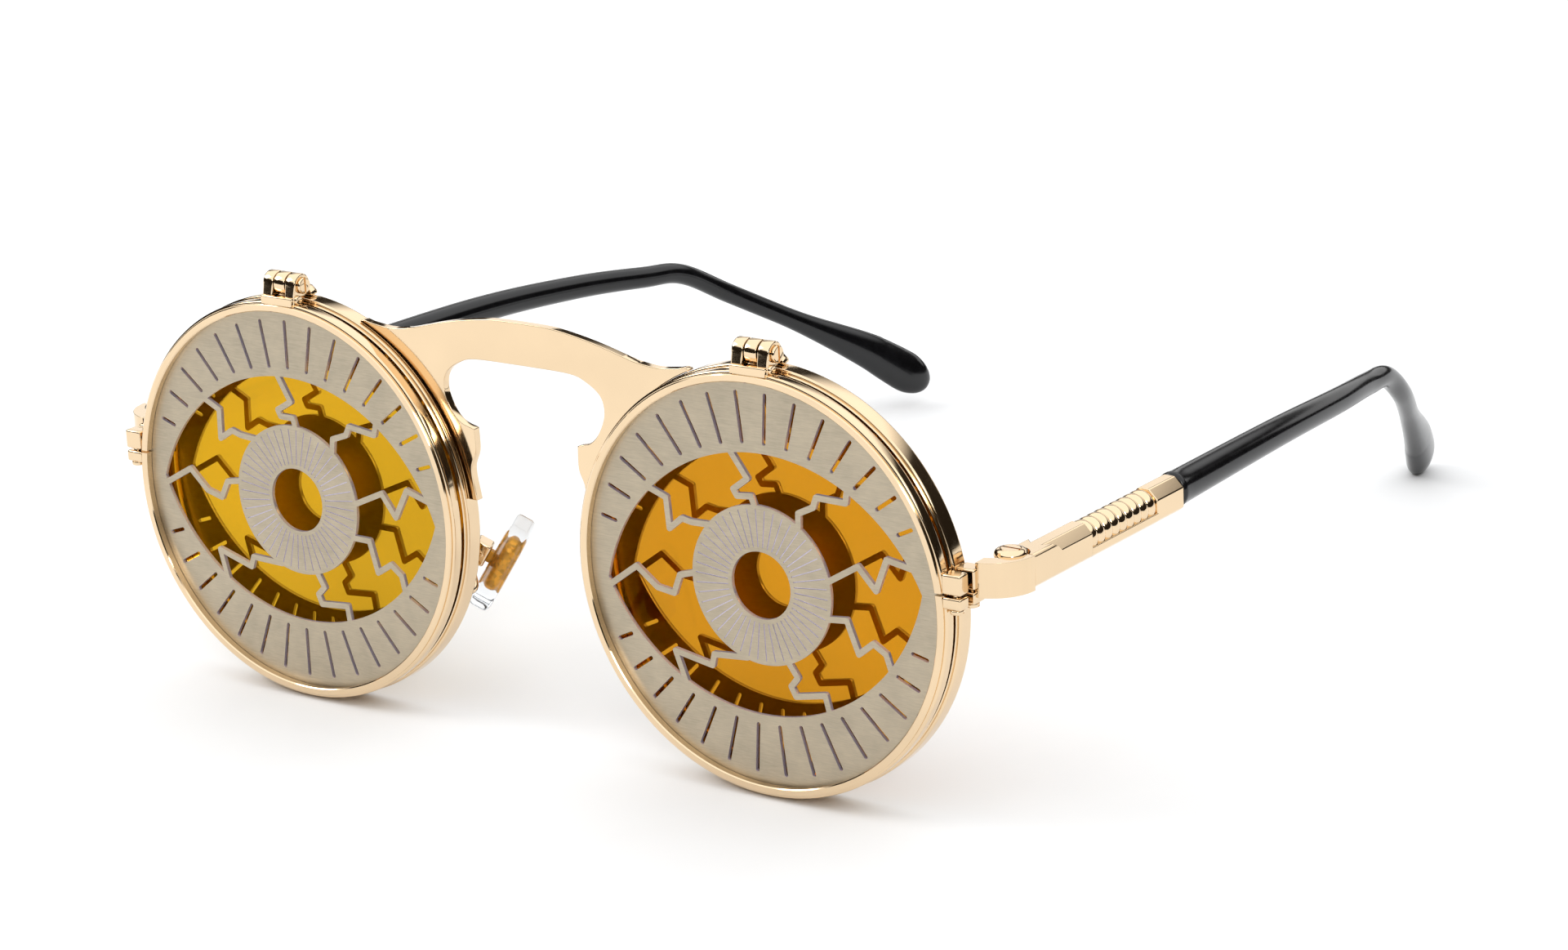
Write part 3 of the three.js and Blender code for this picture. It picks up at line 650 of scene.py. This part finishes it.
class EYEWEAR_OT_rims(bpy.types.Operator):
    """Makes the lens rims, the flip-up rims and their closing screws"""

    bl_idname = "eyewear.rims"
    bl_label = "Rims"

    def execute(self, context):
        rim = settings().rim
        plate = settings().plate
        seat = (plate.front - 0.05 * MM, plate.front + plate.thick + 0.05 * MM)
        profile = rim_profile(
            rim.flip_lip, rim.flip_outer, 0, rim.flip_depth, plate.radius + GROOVE_CLEAR, seat
        )
        piece = rim_with_lugs("flip_rim", profile, rim.flip_outer, (0, rim.flip_depth))
        both_sides(piece, "flip_rim", lens_place, "flip")

        back = rim.lens_front + rim.lens_thick + 0.05 * MM
        seat = (rim.lens_front - 0.05 * MM, back)
        profile = rim_profile(
            rim.main_lip, rim.main_outer, rim.main_front, rim.main_back,
            rim.lens_radius + GROOVE_CLEAR, seat,
        )
        lug_y = (rim.main_front + 0.2 * MM, rim.main_back - 0.2 * MM)
        piece = rim_with_lugs("rim", profile, rim.main_outer, lug_y)
        both_sides(piece, "rim", lens_place, "front")

        under = rim.lug_height - LUG_DOWN
        middles = {
            "flip_screw": ("flip", rim.flip_outer, rim.flip_depth / 2),
            "rim_screw": ("front", rim.main_outer, (rim.main_front + rim.main_back) / 2),
        }
        for stem, (body, outer, middle) in middles.items():
            centre = (outer + 0.95 * MM, middle)
            screw = slotted_screw(
                stem, 0.45 * MM, 0.85 * MM, rim.lug_height + MM, under, under - 0.6 * MM, centre, "Z"
            )
            both_sides(screw, stem, lens_place, body)
        return {"FINISHED"}


class EYEWEAR_OT_lenses(bpy.types.Operator):
    """Makes the two mirrored lenses"""

    bl_idname = "eyewear.lenses"
    bl_label = "Lenses"

    def execute(self, context):
        rim = settings().rim
        back = rim.lens_front + rim.lens_thick
        piece = rod("lens", rim.lens_radius, rim.lens_front, back, (0, 0), "Y", 160, 0.15)
        both_sides(
            piece, "lens", lens_place, "front", "mirror_lens", lambda side: (amber_mirror(side),)
        )
        return {"FINISHED"}


# ------------------------- pierced eye plates
# Zigzag veins in mm, each from the iris out to the edge of the eye opening.
VEINS = (
    ((-5, 7), (-8.9, 7.3), (-10.3, 7.7), (-12.3, 6.4), (-12.2, 10.2), (-16.4, 12.2)),
    ((0.7, 9), (0.2, 10.8), (-1.8, 10.8), (-2.2, 11.6), (0, 12.9), (-2.4, 17)),
    ((6.2, 6.2), (6.6, 9), (8.8, 9.8), (9.4, 11), (13.4, 10.5), (14, 12.6)),
    ((8.6, 0.5), (14, 3), (16.1, 0.2), (18.1, 4), (21.6, 3)),
    ((8.4, -3.6), (11.5, -3.6), (12.6, -7.6), (14.8, -6.2), (16.4, -7.4), (17.2, -11)),
    ((2.3, -9), (3.5, -11.1), (2.4, -12.2), (2.9, -13.4), (7.1, -13), (7.6, -16.5)),
    ((-3.4, -9), (-8.2, -8.9), (-8.7, -10.3), (-13.9, -8.8), (-12.4, -14.6)),
    ((-9, 1.2), (-11.7, 0.7), (-12.9, -1.6), (-15.3, -1), (-18, 1.5), (-23.4, -1.6)),
)
LASH_STEP = 10.1          # degrees between slots
LASH_OUTER = 23.3 * MM


def lid_circle():
    """Radius of a lid's arc, and how far its centre lies beyond the middle."""
    plate = settings().plate
    radius = (plate.almond_half ** 2 + plate.almond_rise ** 2) / (2 * plate.almond_rise)
    return radius, radius - plate.almond_rise


def lid_reach(turn):
    """Distance from the middle to the edge of the eye opening, in one direction."""
    radius, drop = lid_circle()
    fall = drop * abs(math.sin(turn))
    return -fall + math.sqrt(fall ** 2 + radius ** 2 - drop ** 2)


def strip(name, start, end, width, y, rounded=True):
    """A flat bar with round ends between two points in X and Z."""
    start = Vector(start)
    end = Vector(end)
    middle = (start + end) / 2
    run = (end - start).length
    half = width / 2
    if rounded:
        outline = arc((run / 2, 0), half, -90, 90, 6) + arc((-run / 2, 0), half, 90, 270, 6)
    else:
        outline = [(-run / 2, -half), (run / 2, -half), (run / 2, half), (-run / 2, half)]
    piece = slab(name, outline, y[0], y[1])
    turn = Matrix.Rotation(-math.atan2(end.y - start.y, end.x - start.x), 4, "Y")
    move_by(piece, Matrix.Translation((middle.x, 0, middle.y)) @ turn)
    return piece


def ring_of(tools, count, step, first=0.0):
    """Copies of one tool turned round the lens axis, joined."""
    made = [tools]
    turn_about_y(tools, first)
    for i in range(1, count):
        twin = copy_of(tools, "turned_tool")
        turn_about_y(twin, i * step)
        made.append(twin)
    return gather("ring_tool", made)


def eye_window(y):
    """The eye opening as a solid, with its veins and iris taken out."""
    plate = settings().plate
    radius, drop = lid_circle()
    window = rod("window", radius, *y, (0, -drop), "Y", 160, 0)
    combine(window, rod("lower_lid", radius, *y, (0, drop), "Y", 160, 0), "INTERSECT")
    deep = (y[0] - MM, y[1] + MM)
    bars = []
    for vein in VEINS:
        points = scaled(vein)
        for start, end in zip(points, points[1:]):
            bars.append(strip("vein", start, end, plate.vein, deep))
    combine(window, gather("veins", bars), crossing=True)
    combine(window, rod("iris", plate.iris, *deep, (0, 0), "Y", 96, 0))
    return window


def lash_tools(deep):
    """The slots round the eye, upper lid and lower lid."""
    plate = settings().plate
    tools = []
    for lid in (90, -90):
        for i in range(plate.lashes):
            turn = math.radians(lid + (i - (plate.lashes - 1) / 2) * LASH_STEP)
            inner = max(lid_reach(turn) + 1.3 * MM, 17.3 * MM)
            inner = min(inner, LASH_OUTER - 1.8 * MM)
            ends = [(r * math.cos(turn), r * math.sin(turn)) for r in (inner, LASH_OUTER)]
            tools.append(strip("slot", *ends, plate.lash, deep))
    return gather("slots", tools)


class EYEWEAR_OT_eye_plates(bpy.types.Operator):
    """Makes the pierced and engraved steel plate of each flip-up rim"""

    bl_idname = "eyewear.eye_plates"
    bl_label = "Eye plates"

    def execute(self, context):
        sizes = settings().plate
        y = (sizes.front, sizes.front + sizes.thick)
        deep = (y[0] - MM, y[1] + MM)
        plate = rod("eye_plate", sizes.radius, *y, (0, 0), "Y", 160, 0)
        combine(plate, eye_window(deep))
        combine(plate, lash_tools(deep))
        combine(plate, rod("pupil", sizes.pupil, *deep, (0, 0), "Y", 72, 0))
        round_edges(plate, 0.05 * MM, segments=2)
        engraved = (y[0] - 0.1 * MM, y[0] + 0.1 * MM)
        ray = strip("ray", (4.7 * MM, 0), (9.3 * MM, 0), 0.13 * MM, engraved, rounded=False)
        combine(plate, ring_of(ray, sizes.rays, 360 / sizes.rays))
        for face in plate.data.polygons:
            sunk = y[0] + 0.02 * MM < face.center.y < y[1] - 0.02 * MM
            face.material_index = 0 if abs(face.normal.y) > 0.9 and not sunk else 1
        twin = copy_of(plate, "eye_plate_right_shape")
        plate.name = "eye_plate_left_shape"
        for side, piece in (("left", plate), ("right", twin)):
            turn_about_y(piece, PLATE_TILT[side])
            marks = [face.material_index for face in piece.data.polygons]
            set_down(piece, lens_place(side))
            complete(
                piece, f"flip_{side}", "brushed_steel_plate", [f"eye_plate_{side}"],
                brushed_steel(), cut_steel(), angle=30,
            )
            piece.data.polygons.foreach_set("material_index", marks)
        return {"FINISHED"}


# ------------------------- bridge
BRIDGE_TOP = ((0, 26.8), (4.6, 26.7), (8.3, 26.2), (11.8, 25.5), (15.3, 24.6), (17.4, 24.1), (20.4, 23.8),
              (23.4, 24.1))
BRIDGE_END = ((24.3, 24.35), (24.9, 24.2), (25.1, 23.4), (15, 3.3))
BRIDGE_WING = ((8.1, 3.3), (8.7, 7.2), (7.9, 9.6), (7.9, 12.5))
BRIDGE_ARCH = ((7.9, 12.5), (10.0, 13.2), (11.4, 14.8), (12.2, 17.1), (11.7, 19.2), (9.6, 20.7), (7, 21.4),
               (0, 21.5))
BRIDGE_Y = (3.3 * MM, 4.4 * MM)


class EYEWEAR_OT_bridge(bpy.types.Operator):
    """Makes the flat bridge plate that joins the two rims"""

    bl_idname = "eyewear.bridge"
    bl_label = "Bridge"

    def execute(self, context):
        half = [*flowing(BRIDGE_TOP, 5), *[Vector(point) for point in BRIDGE_END]]
        half += flowing(BRIDGE_WING, 5)[:-1]
        half += flowing(BRIDGE_ARCH, 6)
        right = scaled([tuple(point) for point in half])
        left = [(-x, z) for x, z in reversed(right)][1:-1]
        plate = slab("bridge_plate_shape", right + left, *BRIDGE_Y)
        deep = (BRIDGE_Y[0] - MM, BRIDGE_Y[1] + MM)
        for sign in SIDES.values():
            clear = settings().rim.main_outer + 0.05 * MM
            combine(plate, rod("rim_tool", clear, *deep, (sign * LENS_X, 0), "Y", 160, 0))
        round_edges(plate, 0.3 * MM, segments=4, angle=50)
        set_down(plate, RIMS)
        complete(plate, "front", "gold_plate", ["bridge_plate"], gold_plating(), angle=50)
        return {"FINISHED"}


# ------------------------- flip-up hinges
KNUCKLE = 1.5 * MM
EAR = (1.0 * MM, 2.6 * MM)


class EYEWEAR_OT_flip_hinges(bpy.types.Operator):
    """Makes the three-knuckle hinge on top of each rim, with its pin"""

    bl_idname = "eyewear.flip_hinges"
    bl_label = "Flip-up hinges"

    def execute(self, context):
        rim = settings().rim
        y, z = FLIP_AXIS
        foot = rim.flip_outer - 0.4 * MM
        ear = [(0.3 * MM, foot), *arc((y, z), KNUCKLE, 185, -100, 20), (1.9 * MM, foot)]
        parts = []
        for sign in (1, -1):
            x = sorted((sign * EAR[0], sign * EAR[1]))
            part = slab("ear", ear, *x, axis="X")
            round_edges(part, 0.22 * MM, angle=50)
            parts.append(part)
        wide = (-EAR[1] + 0.1 * MM, EAR[1] - 0.1 * MM)
        parts.append(box("foot", wide, (-0.04 * MM, 1.2 * MM), (foot, foot + 1.15 * MM), edge=0.18))
        rivet = (1.15 * MM, foot + 0.75 * MM)
        parts.append(rod("rivet", 0.6 * MM, 2.2 * MM, 2.95 * MM, rivet, "X", 32, 0.2))
        leaf = gather("flip_hinge_leaf", parts)
        both_sides(leaf, "flip_hinge_leaf", lens_place, "flip", mirror=False)

        foot = rim.main_outer - 0.3 * MM
        tab = [(4.3 * MM, foot), *arc((y, z), KNUCKLE, 20, 300, 22), (3.0 * MM, foot)]
        middle = slab("middle_knuckle", tab, -0.85 * MM, 0.85 * MM, axis="X")
        round_edges(middle, 0.18 * MM, angle=50)
        hump = [(-2.4, 0), (-2.4, 0.5), (-1.6, 1.15), (0, 1.3), (1.6, 1.15), (2.4, 0.5), (2.4, 0)]
        outline = [(a * MM, foot + 0.3 * MM + b * MM) for a, b in hump]
        pad = slab("pad", outline, 4.0 * MM, rim.main_back, axis="Y")
        round_edges(pad, 0.25 * MM, angle=50)
        leaf = gather("rim_hinge_leaf", [middle, pad])
        both_sides(leaf, "rim_hinge_leaf", lens_place, "front", mirror=False)

        pin = slotted_screw(
            "flip_hinge_pin", 0.5 * MM, 1.05 * MM, -EAR[1] + 0.2 * MM, EAR[1], EAR[1] + 0.5 * MM,
            FLIP_AXIS, "X",
        )
        both_sides(pin, "flip_hinge_pin", lens_place, "flip", mirror=False)
        return {"FINISHED"}


# ------------------------- end pieces and temple hinges
SEAM_Y = 8.7 * MM
ELBOW_X = 27.2 * MM
ELBOW_OUTER = 5.4 * MM
ELBOW_INNER = 3.4 * MM
HINGE_EAR = 2.0 * MM
EAR_TOP = (5.5 * MM, 7.0 * MM)
EAR_LOW = (2.3 * MM, 3.2 * MM)


class EYEWEAR_OT_end_pieces(bpy.types.Operator):
    """Makes the curved end pieces, their hinge ears and the temple screws"""

    bl_idname = "eyewear.end_pieces"
    bl_label = "End pieces"

    def execute(self, context):
        temple = settings().temple
        hinge = (TEMPLE_X - LENS_X, TEMPLE_AXIS_Y)
        outline = arc((ELBOW_X, SEAM_Y), ELBOW_OUTER, -82, 0, 22)
        outline += arc((ELBOW_X, SEAM_Y), ELBOW_INNER, 0, -78, 16)
        elbow = slab("elbow", outline, temple.bar_low, temple.bar_high, axis="Z")
        gap = (EAR_LOW[1], EAR_TOP[0])
        combine(elbow, rod("gap_tool", HINGE_EAR + 0.2 * MM, *gap, hinge, "Z", 64, 0))
        round_edges(elbow, 0.35 * MM, segments=4, angle=50)
        upper = rod("upper_ear", HINGE_EAR, *EAR_TOP, hinge, "Z", 64, 0.7)
        combine(upper, rod("seat_tool", 1.28 * MM, EAR_TOP[1] - 0.45 * MM, 9 * MM, hinge, "Z", 48, 0))
        lower = rod("lower_ear", HINGE_EAR, *EAR_LOW, hinge, "Z", 64, 0.2)
        piece = gather("end_piece", [elbow, upper, lower])
        both_sides(piece, "end_piece", lens_place, "front")
        screw = slotted_screw(
            "temple_screw", 0.6 * MM, 1.25 * MM, temple.bar_low + 0.1 * MM,
            EAR_TOP[1] - 0.4 * MM, EAR_TOP[1] + 0.05 * MM, hinge, "Z",
        )
        both_sides(screw, "temple_screw", lens_place, "front")
        return {"FINISHED"}


# ------------------------- temples
BAR_X = 0.85 * MM
BAR_HALF = 2.0 * MM
RIB_START = 12.6 * MM
RIB_PITCH = 1.55 * MM


def bar_outline(shrink, chamfer):
    """The temple bar's section: flat faces with bevelled upper edges."""
    temple = settings().temple
    middle = (temple.bar_low + temple.bar_high) / 2
    wide = BAR_HALF - shrink
    high = (temple.bar_high - temple.bar_low) / 2 - shrink
    soft = 0.5 * MM
    corners = (
        (wide, high - chamfer), (wide - chamfer, high), (-wide + chamfer, high), (-wide, high - chamfer),
        (-wide, -high + soft), (-wide + soft, -high), (wide - soft, -high), (wide, -high + soft),
    )
    return [(BAR_X + x, middle + z) for x, z in corners]


def bar_stretch(low, high, shrink, chamfer, edge=0.15):
    piece = slab("bar", bar_outline(shrink, chamfer), low, high)
    if edge:
        round_edges(piece, edge * MM, angle=20)
    return piece


def corner_tool(sign):
    """A block that planes off an upper corner of the bar, and starts on a slant."""
    high = settings().temple.bar_high
    corner = Vector((BAR_X + sign * (BAR_HALF - 1.15 * MM), 4.0 * MM, high))
    tool = box("corner_tool", (-3 * MM, 3 * MM), (0, 16 * MM), (0, 3 * MM), edge=0)
    tilt = Matrix.Rotation(math.radians(sign * 45), 4, "Y")
    along = Vector((sign * 0.575 * MM, 0, -0.575 * MM))
    move_by(tool, Matrix.Translation(corner + along) @ tilt)
    edit_all()
    bpy.ops.mesh.bisect(
        plane_co=corner, plane_no=(sign * 4.2, -2.2, -4.2), use_fill=True, clear_outer=True
    )
    outwards()
    return tool


class EYEWEAR_OT_temple_arms(bpy.types.Operator):
    """Makes the metal temple bars with their spring-look ribs"""

    bl_idname = "eyewear.temple_arms"
    bl_label = "Temple bars"

    def execute(self, context):
        temple = settings().temple
        middle = (temple.bar_low + temple.bar_high) / 2
        start = SEAM_Y - TEMPLE_AXIS_Y + 0.4 * MM
        rib_end = RIB_START + temple.ribs * RIB_PITCH
        parts = [
            bar_stretch(start, RIB_START, 0, 0.3 * MM, edge=0),
            bar_stretch(rib_end, temple.sleeve_start - 0.1 * MM, 0.02 * MM, 1.25 * MM),
        ]
        for sign in (1, -1):
            combine(parts[0], corner_tool(sign))
        round_edges(parts[0], 0.12 * MM, angle=20)
        hollow = rod("hollow_tool", HINGE_EAR + 0.25 * MM, 0, 9 * MM, (0, 0), "Z", 64, 0)
        combine(parts[0], hollow)
        lower = slab("lower_half", [
            (BAR_X - BAR_HALF, middle - 0.7 * MM), (BAR_X - BAR_HALF, temple.bar_low + 0.5 * MM),
            (BAR_X - BAR_HALF + 0.5 * MM, temple.bar_low), (BAR_X + BAR_HALF - 0.5 * MM, temple.bar_low),
            (BAR_X + BAR_HALF, temple.bar_low + 0.5 * MM), (BAR_X + BAR_HALF, middle - 0.7 * MM),
        ], RIB_START - 0.3 * MM, rib_end + 0.3 * MM)
        round_edges(lower, 0.12 * MM)
        parts.append(lower)
        coil = []
        for i in range(temple.ribs):
            for share in (0.03, 0.1, 0.25, 0.5, 0.75, 0.9, 0.97):
                swell = 0.5 * MM * (1 - math.sqrt(1 - (2 * share - 1) ** 2))
                high = (temple.bar_high - temple.bar_low) / 2 - swell
                centre = (BAR_X, RIB_START + (i + share) * RIB_PITCH, middle)
                coil.append((centre, BAR_HALF - swell, high, 0))
        parts.append(lofted("coil", coil, 32))
        tongue = (EAR_LOW[1] + 0.1 * MM, EAR_TOP[0] - 0.1 * MM)
        parts.append(rod("knuckle", HINGE_EAR, *tongue, (0, 0), "Z", 64, 0.12))
        parts.append(box("neck", (-1.1 * MM, 1.6 * MM), (0, 2.6 * MM), tongue, edge=0.1))
        arm = gather("temple_arm", parts)
        both_sides(arm, "temple_arm", temple_place, "temple")
        return {"FINISHED"}


SLEEVE_ROUTE = (
    (0, 32.5, 0), (-0.7, 58, 0), (-2.3, 76, -1.0), (-4.5, 88, -2.2), (-5.7, 95, -3.3), (-7.7, 103, -8.1),
    (-12.5, 114, -15.1), (-16.8, 124, -21.6), (-20.4, 132, -28.1),
)


def smooth_step(value, low, high):
    share = min(max((value - low) / (high - low), 0), 1)
    return share * share * (3 - 2 * share)


class EYEWEAR_OT_temple_sleeves(bpy.types.Operator):
    """Makes the black temple sleeves, from their rounded mouths to the flat tips"""

    bl_idname = "eyewear.temple_sleeves"
    bl_label = "Temple sleeves"

    def execute(self, context):
        temple = settings().temple
        middle = (temple.bar_low + temple.bar_high) / 2
        line = flowing(SLEEVE_ROUTE, 10)
        line[-10:] = flowing([line[-11], (line[-11] + line[-1]) / 2, line[-1]], 12)[1:]
        run = [0.0]
        for last, point in zip(line, line[1:]):
            run.append(run[-1] + (point - last).length)
        sections = []
        for i, (point, gone) in enumerate(zip(line, run)):
            along = gone / run[-1]
            ahead = (line[min(i + 1, len(line) - 1)] - line[max(i - 1, 0)]).normalized()
            slim = min(along / 0.6, 1)
            end = math.sqrt(max(1 - max((along - 0.955) / 0.046, 0) ** 2, 0.02))
            paddle = smooth_step(along, 0.74, 0.97)
            wide = (2.05 - 0.65 * slim + 0.6 * paddle) * end
            high = (2.2 - 0.75 * slim + 1.75 * paddle) * end
            lean = math.atan2(ahead.z, ahead.y) * smooth_step(along, 0.0, 0.2)
            centre = Vector((BAR_X, 0, middle)) + point * MM
            sections.append((centre, wide * MM, high * MM, lean))
        mouth = sections[0]
        lip = []
        for back, share in ((0.0, 0.62), (0.0, 0.84), (0.1, 0.95), (0.35, 1.03), (0.75, 1.04), (1.1, 1.0)):
            centre = mouth[0] + Vector((0, back * MM, 0))
            lip.append((centre, mouth[1] * share, mouth[2] * share, 0))
        piece = lofted("temple_sleeve", lip + sections[1:], 32)
        both_sides(
            piece, "temple_sleeve", temple_place, "temple", "sleeve_plastic", lambda side: (black_acetate(),)
        )
        return {"FINISHED"}


# ------------------------- nose pads
class EYEWEAR_OT_nose_pads(bpy.types.Operator):
    """Makes the nose pads, their inserts, boxes, pins and wire arms"""

    bl_idname = "eyewear.nose_pads"
    bl_label = "Nose pads"

    def execute(self, context):
        deselect()
        bpy.ops.mesh.primitive_cube_add(size=1, scale=(3.0 * MM, 7.8 * MM, 12.0 * MM))
        pad = new_piece("nose_pad")
        edit_all()
        bpy.ops.mesh.subdivide(number_cuts=2)
        bpy.ops.object.mode_set(mode="OBJECT")
        modify(pad, "SUBSURF", levels=3, render_levels=3)
        both_sides(
            pad, "nose_pad", pad_place, "pad", "pad_silicone", lambda side: (clear_silicone(),)
        )

        outline = arc((0, 1.8), 1.9, 0, 180, 12) + arc((0, -1.8), 1.9, 180, 360, 12)
        plate = slab("insert_plate", scaled(outline), -0.85 * MM, 0.75 * MM, axis="X")
        round_edges(plate, 0.6 * MM, segments=4, angle=50)
        post = box("post", (0.2 * MM, 3.4 * MM), (-0.55 * MM, 0.55 * MM), (-0.8 * MM, 0.8 * MM))
        insert = gather("pad_insert", [plate, post])
        both_sides(
            insert, "pad_insert", pad_place, "pad", make_materials=lambda side: (amber_foil(),)
        )

        outer = box("pad_box", (1.95 * MM, 4.1 * MM), (-1.35 * MM, 1.35 * MM), (-1.5 * MM, 1.5 * MM), 0.3)
        hollow = box("hollow", (MM, 3.7 * MM), (-0.75 * MM, 0.75 * MM), (-1.15 * MM, 1.15 * MM), 0)
        combine(outer, hollow)
        both_sides(outer, "pad_box", pad_place, "front")

        pin = slotted_screw(
            "pad_pin", 0.3 * MM, 0.6 * MM, -1.37 * MM, 1.35 * MM, 1.8 * MM, (2.8 * MM, 0), "Y"
        )
        both_sides(pin, "pad_pin", pad_place, "front")

        to_rims = RIMS.inverted() @ pad_place("left")
        route = [Vector(point) * MM for point in (
            (12.0, 5.0, -9.7), (12.2, 6.6, -9.3), (13.6, 7.4, -6.5), (15.2, 7.8, -3.4),
            (16.7, 8.4, -1.8), (17.8, 9.0, -2.6), (18.0, 9.2, -4.8),
        )]
        route += [to_rims @ (Vector(point) * MM) for point in ((5.6, 0, 0.3), (3.95, 0, 0))]
        wire = wire_along("pad_arm", route, 0.5 * MM)
        both_sides(wire, "pad_arm", lambda side: RIMS, "front")
        return {"FINISHED"}


def wire_along(name, route, radius):
    """A round wire on a smooth route, made a mesh."""
    deselect()
    bpy.ops.curve.primitive_nurbs_path_add()
    curve = bpy.context.object
    points = flowing(route, 4)
    curve.data.splines.clear()
    spline = curve.data.splines.new("POLY")
    spline.points.add(len(points) - 1)
    for knot, point in zip(spline.points, points):
        knot.co = (*point, 1)
    curve.data.bevel_depth = radius
    curve.data.bevel_resolution = 5
    curve.data.use_fill_caps = True
    bpy.ops.object.convert(target="MESH")
    wire = new_piece(name)
    edit_all()
    bpy.ops.mesh.remove_doubles(threshold=0.002 * MM)
    outwards()
    return wire


# ------------------------- hidden wires and the stage
class EYEWEAR_OT_hidden_cores(bpy.types.Operator):
    """Gives the steel wires inside the sleeves their finish"""

    bl_idname = "eyewear.hidden_cores"
    bl_label = "Sleeve cores"

    def execute(self, context):
        for side in SIDES:
            core = frame["nodes"][f"temple_core_{side}"]
            core.data.materials.clear()
            core.data.materials.append(drawn_steel())
        return {"FINISHED"}


# The camera's place in the rims' frame: where it stands, and how it is turned.
CAMERA_SPOT = Vector((287.98, -353.04, 148.77)) * MM
CAMERA_AZIMUTH = 35.06
CAMERA_ELEVATION = 17.3
CAMERA_ROLL = -2.42
CAMERA_LENS = 90.7


def soft_light(name, spot, aim, size, power, tint=(1, 1, 1)):
    deselect()
    bpy.ops.object.light_add(type="AREA", location=spot)
    light = bpy.context.object
    light.name = name
    light.data.size = size
    light.data.energy = power
    light.data.color = tint
    direction = Vector(aim) - Vector(spot)
    light.rotation_euler = direction.to_track_quat("-Z", "Y").to_euler()
    return light


@finish("studio_paper")
def paper_white(tree, shader, place):
    """Seamless studio paper: a plain near-white with a faint tooth."""
    tooth = add_node(tree, "ShaderNodeTexNoise", {"Scale": 1 / (20 * MM)}, {"Vector": place})
    tone = ramp(tree, tooth, (0.3, (0.93, 0.93, 0.93, 1)), (0.7, (0.95, 0.95, 0.95, 1)))
    join_up(tree, shader, {"Roughness": 0.9, "Specular IOR Level": 0.1}, {"Base Color": tone})


class EYEWEAR_OT_stage(bpy.types.Operator):
    """Makes the floor, the soft lights, the surroundings and the camera"""

    bl_idname = "eyewear.stage"
    bl_label = "Stage"

    def execute(self, context):
        scene = bpy.context.scene
        deselect()
        bpy.ops.mesh.primitive_plane_add(size=6.0, location=(0, 0, -0.05 * MM))
        floor = bpy.context.object
        floor.name = "floor"
        floor.data.materials.append(paper_white())

        world = bpy.data.worlds.new("studio_surround")
        scene.world = world
        world.use_nodes = True
        tree = world.node_tree
        direction = add_node(tree, "ShaderNodeTexCoord").outputs["Generated"]
        height = add_node(tree, "ShaderNodeSeparateXYZ", links={"Vector": direction}).outputs["Z"]
        sky = ramp(
            tree, height,
            (0.0, (0.01, 0.008, 0.006, 1)), (0.46, (0.02, 0.016, 0.012, 1)),
            (0.56, (1, 1, 1, 1)), (1.0, (0.96, 0.98, 1, 1)),
        )
        background = tree.nodes["Background"]
        tree.links.new(sky, background.inputs["Color"])
        background.inputs["Strength"].default_value = 1.45

        soft_light("left_softbox", (-0.9, -0.5, 0.75), (0, -0.03, 0.03), 0.45, 3.0)
        soft_light("right_softbox", (0.8, -0.9, 0.6), (0, -0.03, 0.03), 0.3, 2.0)
        back = soft_light("back_softbox", (-0.3, 1.6, 0.52), (0, 0, 0.05), 2.6, 4.0)
        back.data.shape = "RECTANGLE"
        back.data.size_y = 0.42

        bpy.ops.object.camera_add()
        camera = bpy.context.object
        camera.name = "camera"
        camera.data.lens = CAMERA_LENS
        camera.data.sensor_width = 36.0
        camera.data.clip_start = 0.01
        azimuth, elevation, roll = (
            math.radians(a) for a in (CAMERA_AZIMUTH, CAMERA_ELEVATION, CAMERA_ROLL)
        )
        turn = Euler((math.pi / 2 - elevation, 0, azimuth), "XYZ").to_matrix().to_4x4()
        turn = turn @ Matrix.Rotation(roll, 4, "Z")
        camera.matrix_world = RIMS @ Matrix.Translation(CAMERA_SPOT) @ turn
        scene.camera = camera
        scene.view_settings.view_transform = "Standard"
        return {"FINISHED"}


# ------------------------- panel and registration
OPERATORS = (
    EYEWEAR_OT_stage,
    EYEWEAR_OT_rims,
    EYEWEAR_OT_lenses,
    EYEWEAR_OT_eye_plates,
    EYEWEAR_OT_bridge,
    EYEWEAR_OT_flip_hinges,
    EYEWEAR_OT_end_pieces,
    EYEWEAR_OT_temple_arms,
    EYEWEAR_OT_temple_sleeves,
    EYEWEAR_OT_nose_pads,
    EYEWEAR_OT_hidden_cores,
)


class EYEWEAR_PT_sunglasses(bpy.types.Panel):
    """Lists the steps that make the sunglasses"""

    bl_label = "Flip-up sunglasses"
    bl_space_type = "VIEW_3D"
    bl_region_type = "UI"
    bl_category = "Eyewear"

    def draw(self, context):
        for operator in OPERATORS:
            self.layout.operator(operator.bl_idname)
        for group in (settings().rim, settings().plate, settings().temple, settings().finish):
            column = self.layout.column()
            for name in group.__annotations__:
                column.prop(group, name)


CLASSES = (
    RimSizes, PlateSizes, TempleSizes, Finishes, SunglassesSettings, *OPERATORS, EYEWEAR_PT_sunglasses,
)


def register():
    for item in CLASSES:
        bpy.utils.register_class(item)
    bpy.types.Scene.sunglasses = PointerProperty(type=SunglassesSettings)


def unregister():
    del bpy.types.Scene.sunglasses
    for item in reversed(CLASSES):
        bpy.utils.unregister_class(item)


def main():
    register()
    bpy.ops.eyewear.stage()
    bpy.ops.eyewear.rims()
    bpy.ops.eyewear.lenses()
    bpy.ops.eyewear.eye_plates()
    bpy.ops.eyewear.bridge()
    bpy.ops.eyewear.flip_hinges()
    bpy.ops.eyewear.end_pieces()
    bpy.ops.eyewear.temple_arms()
    bpy.ops.eyewear.temple_sleeves()
    bpy.ops.eyewear.nose_pads()
    bpy.ops.eyewear.hidden_cores()


if __name__ == "__main__":
    main()
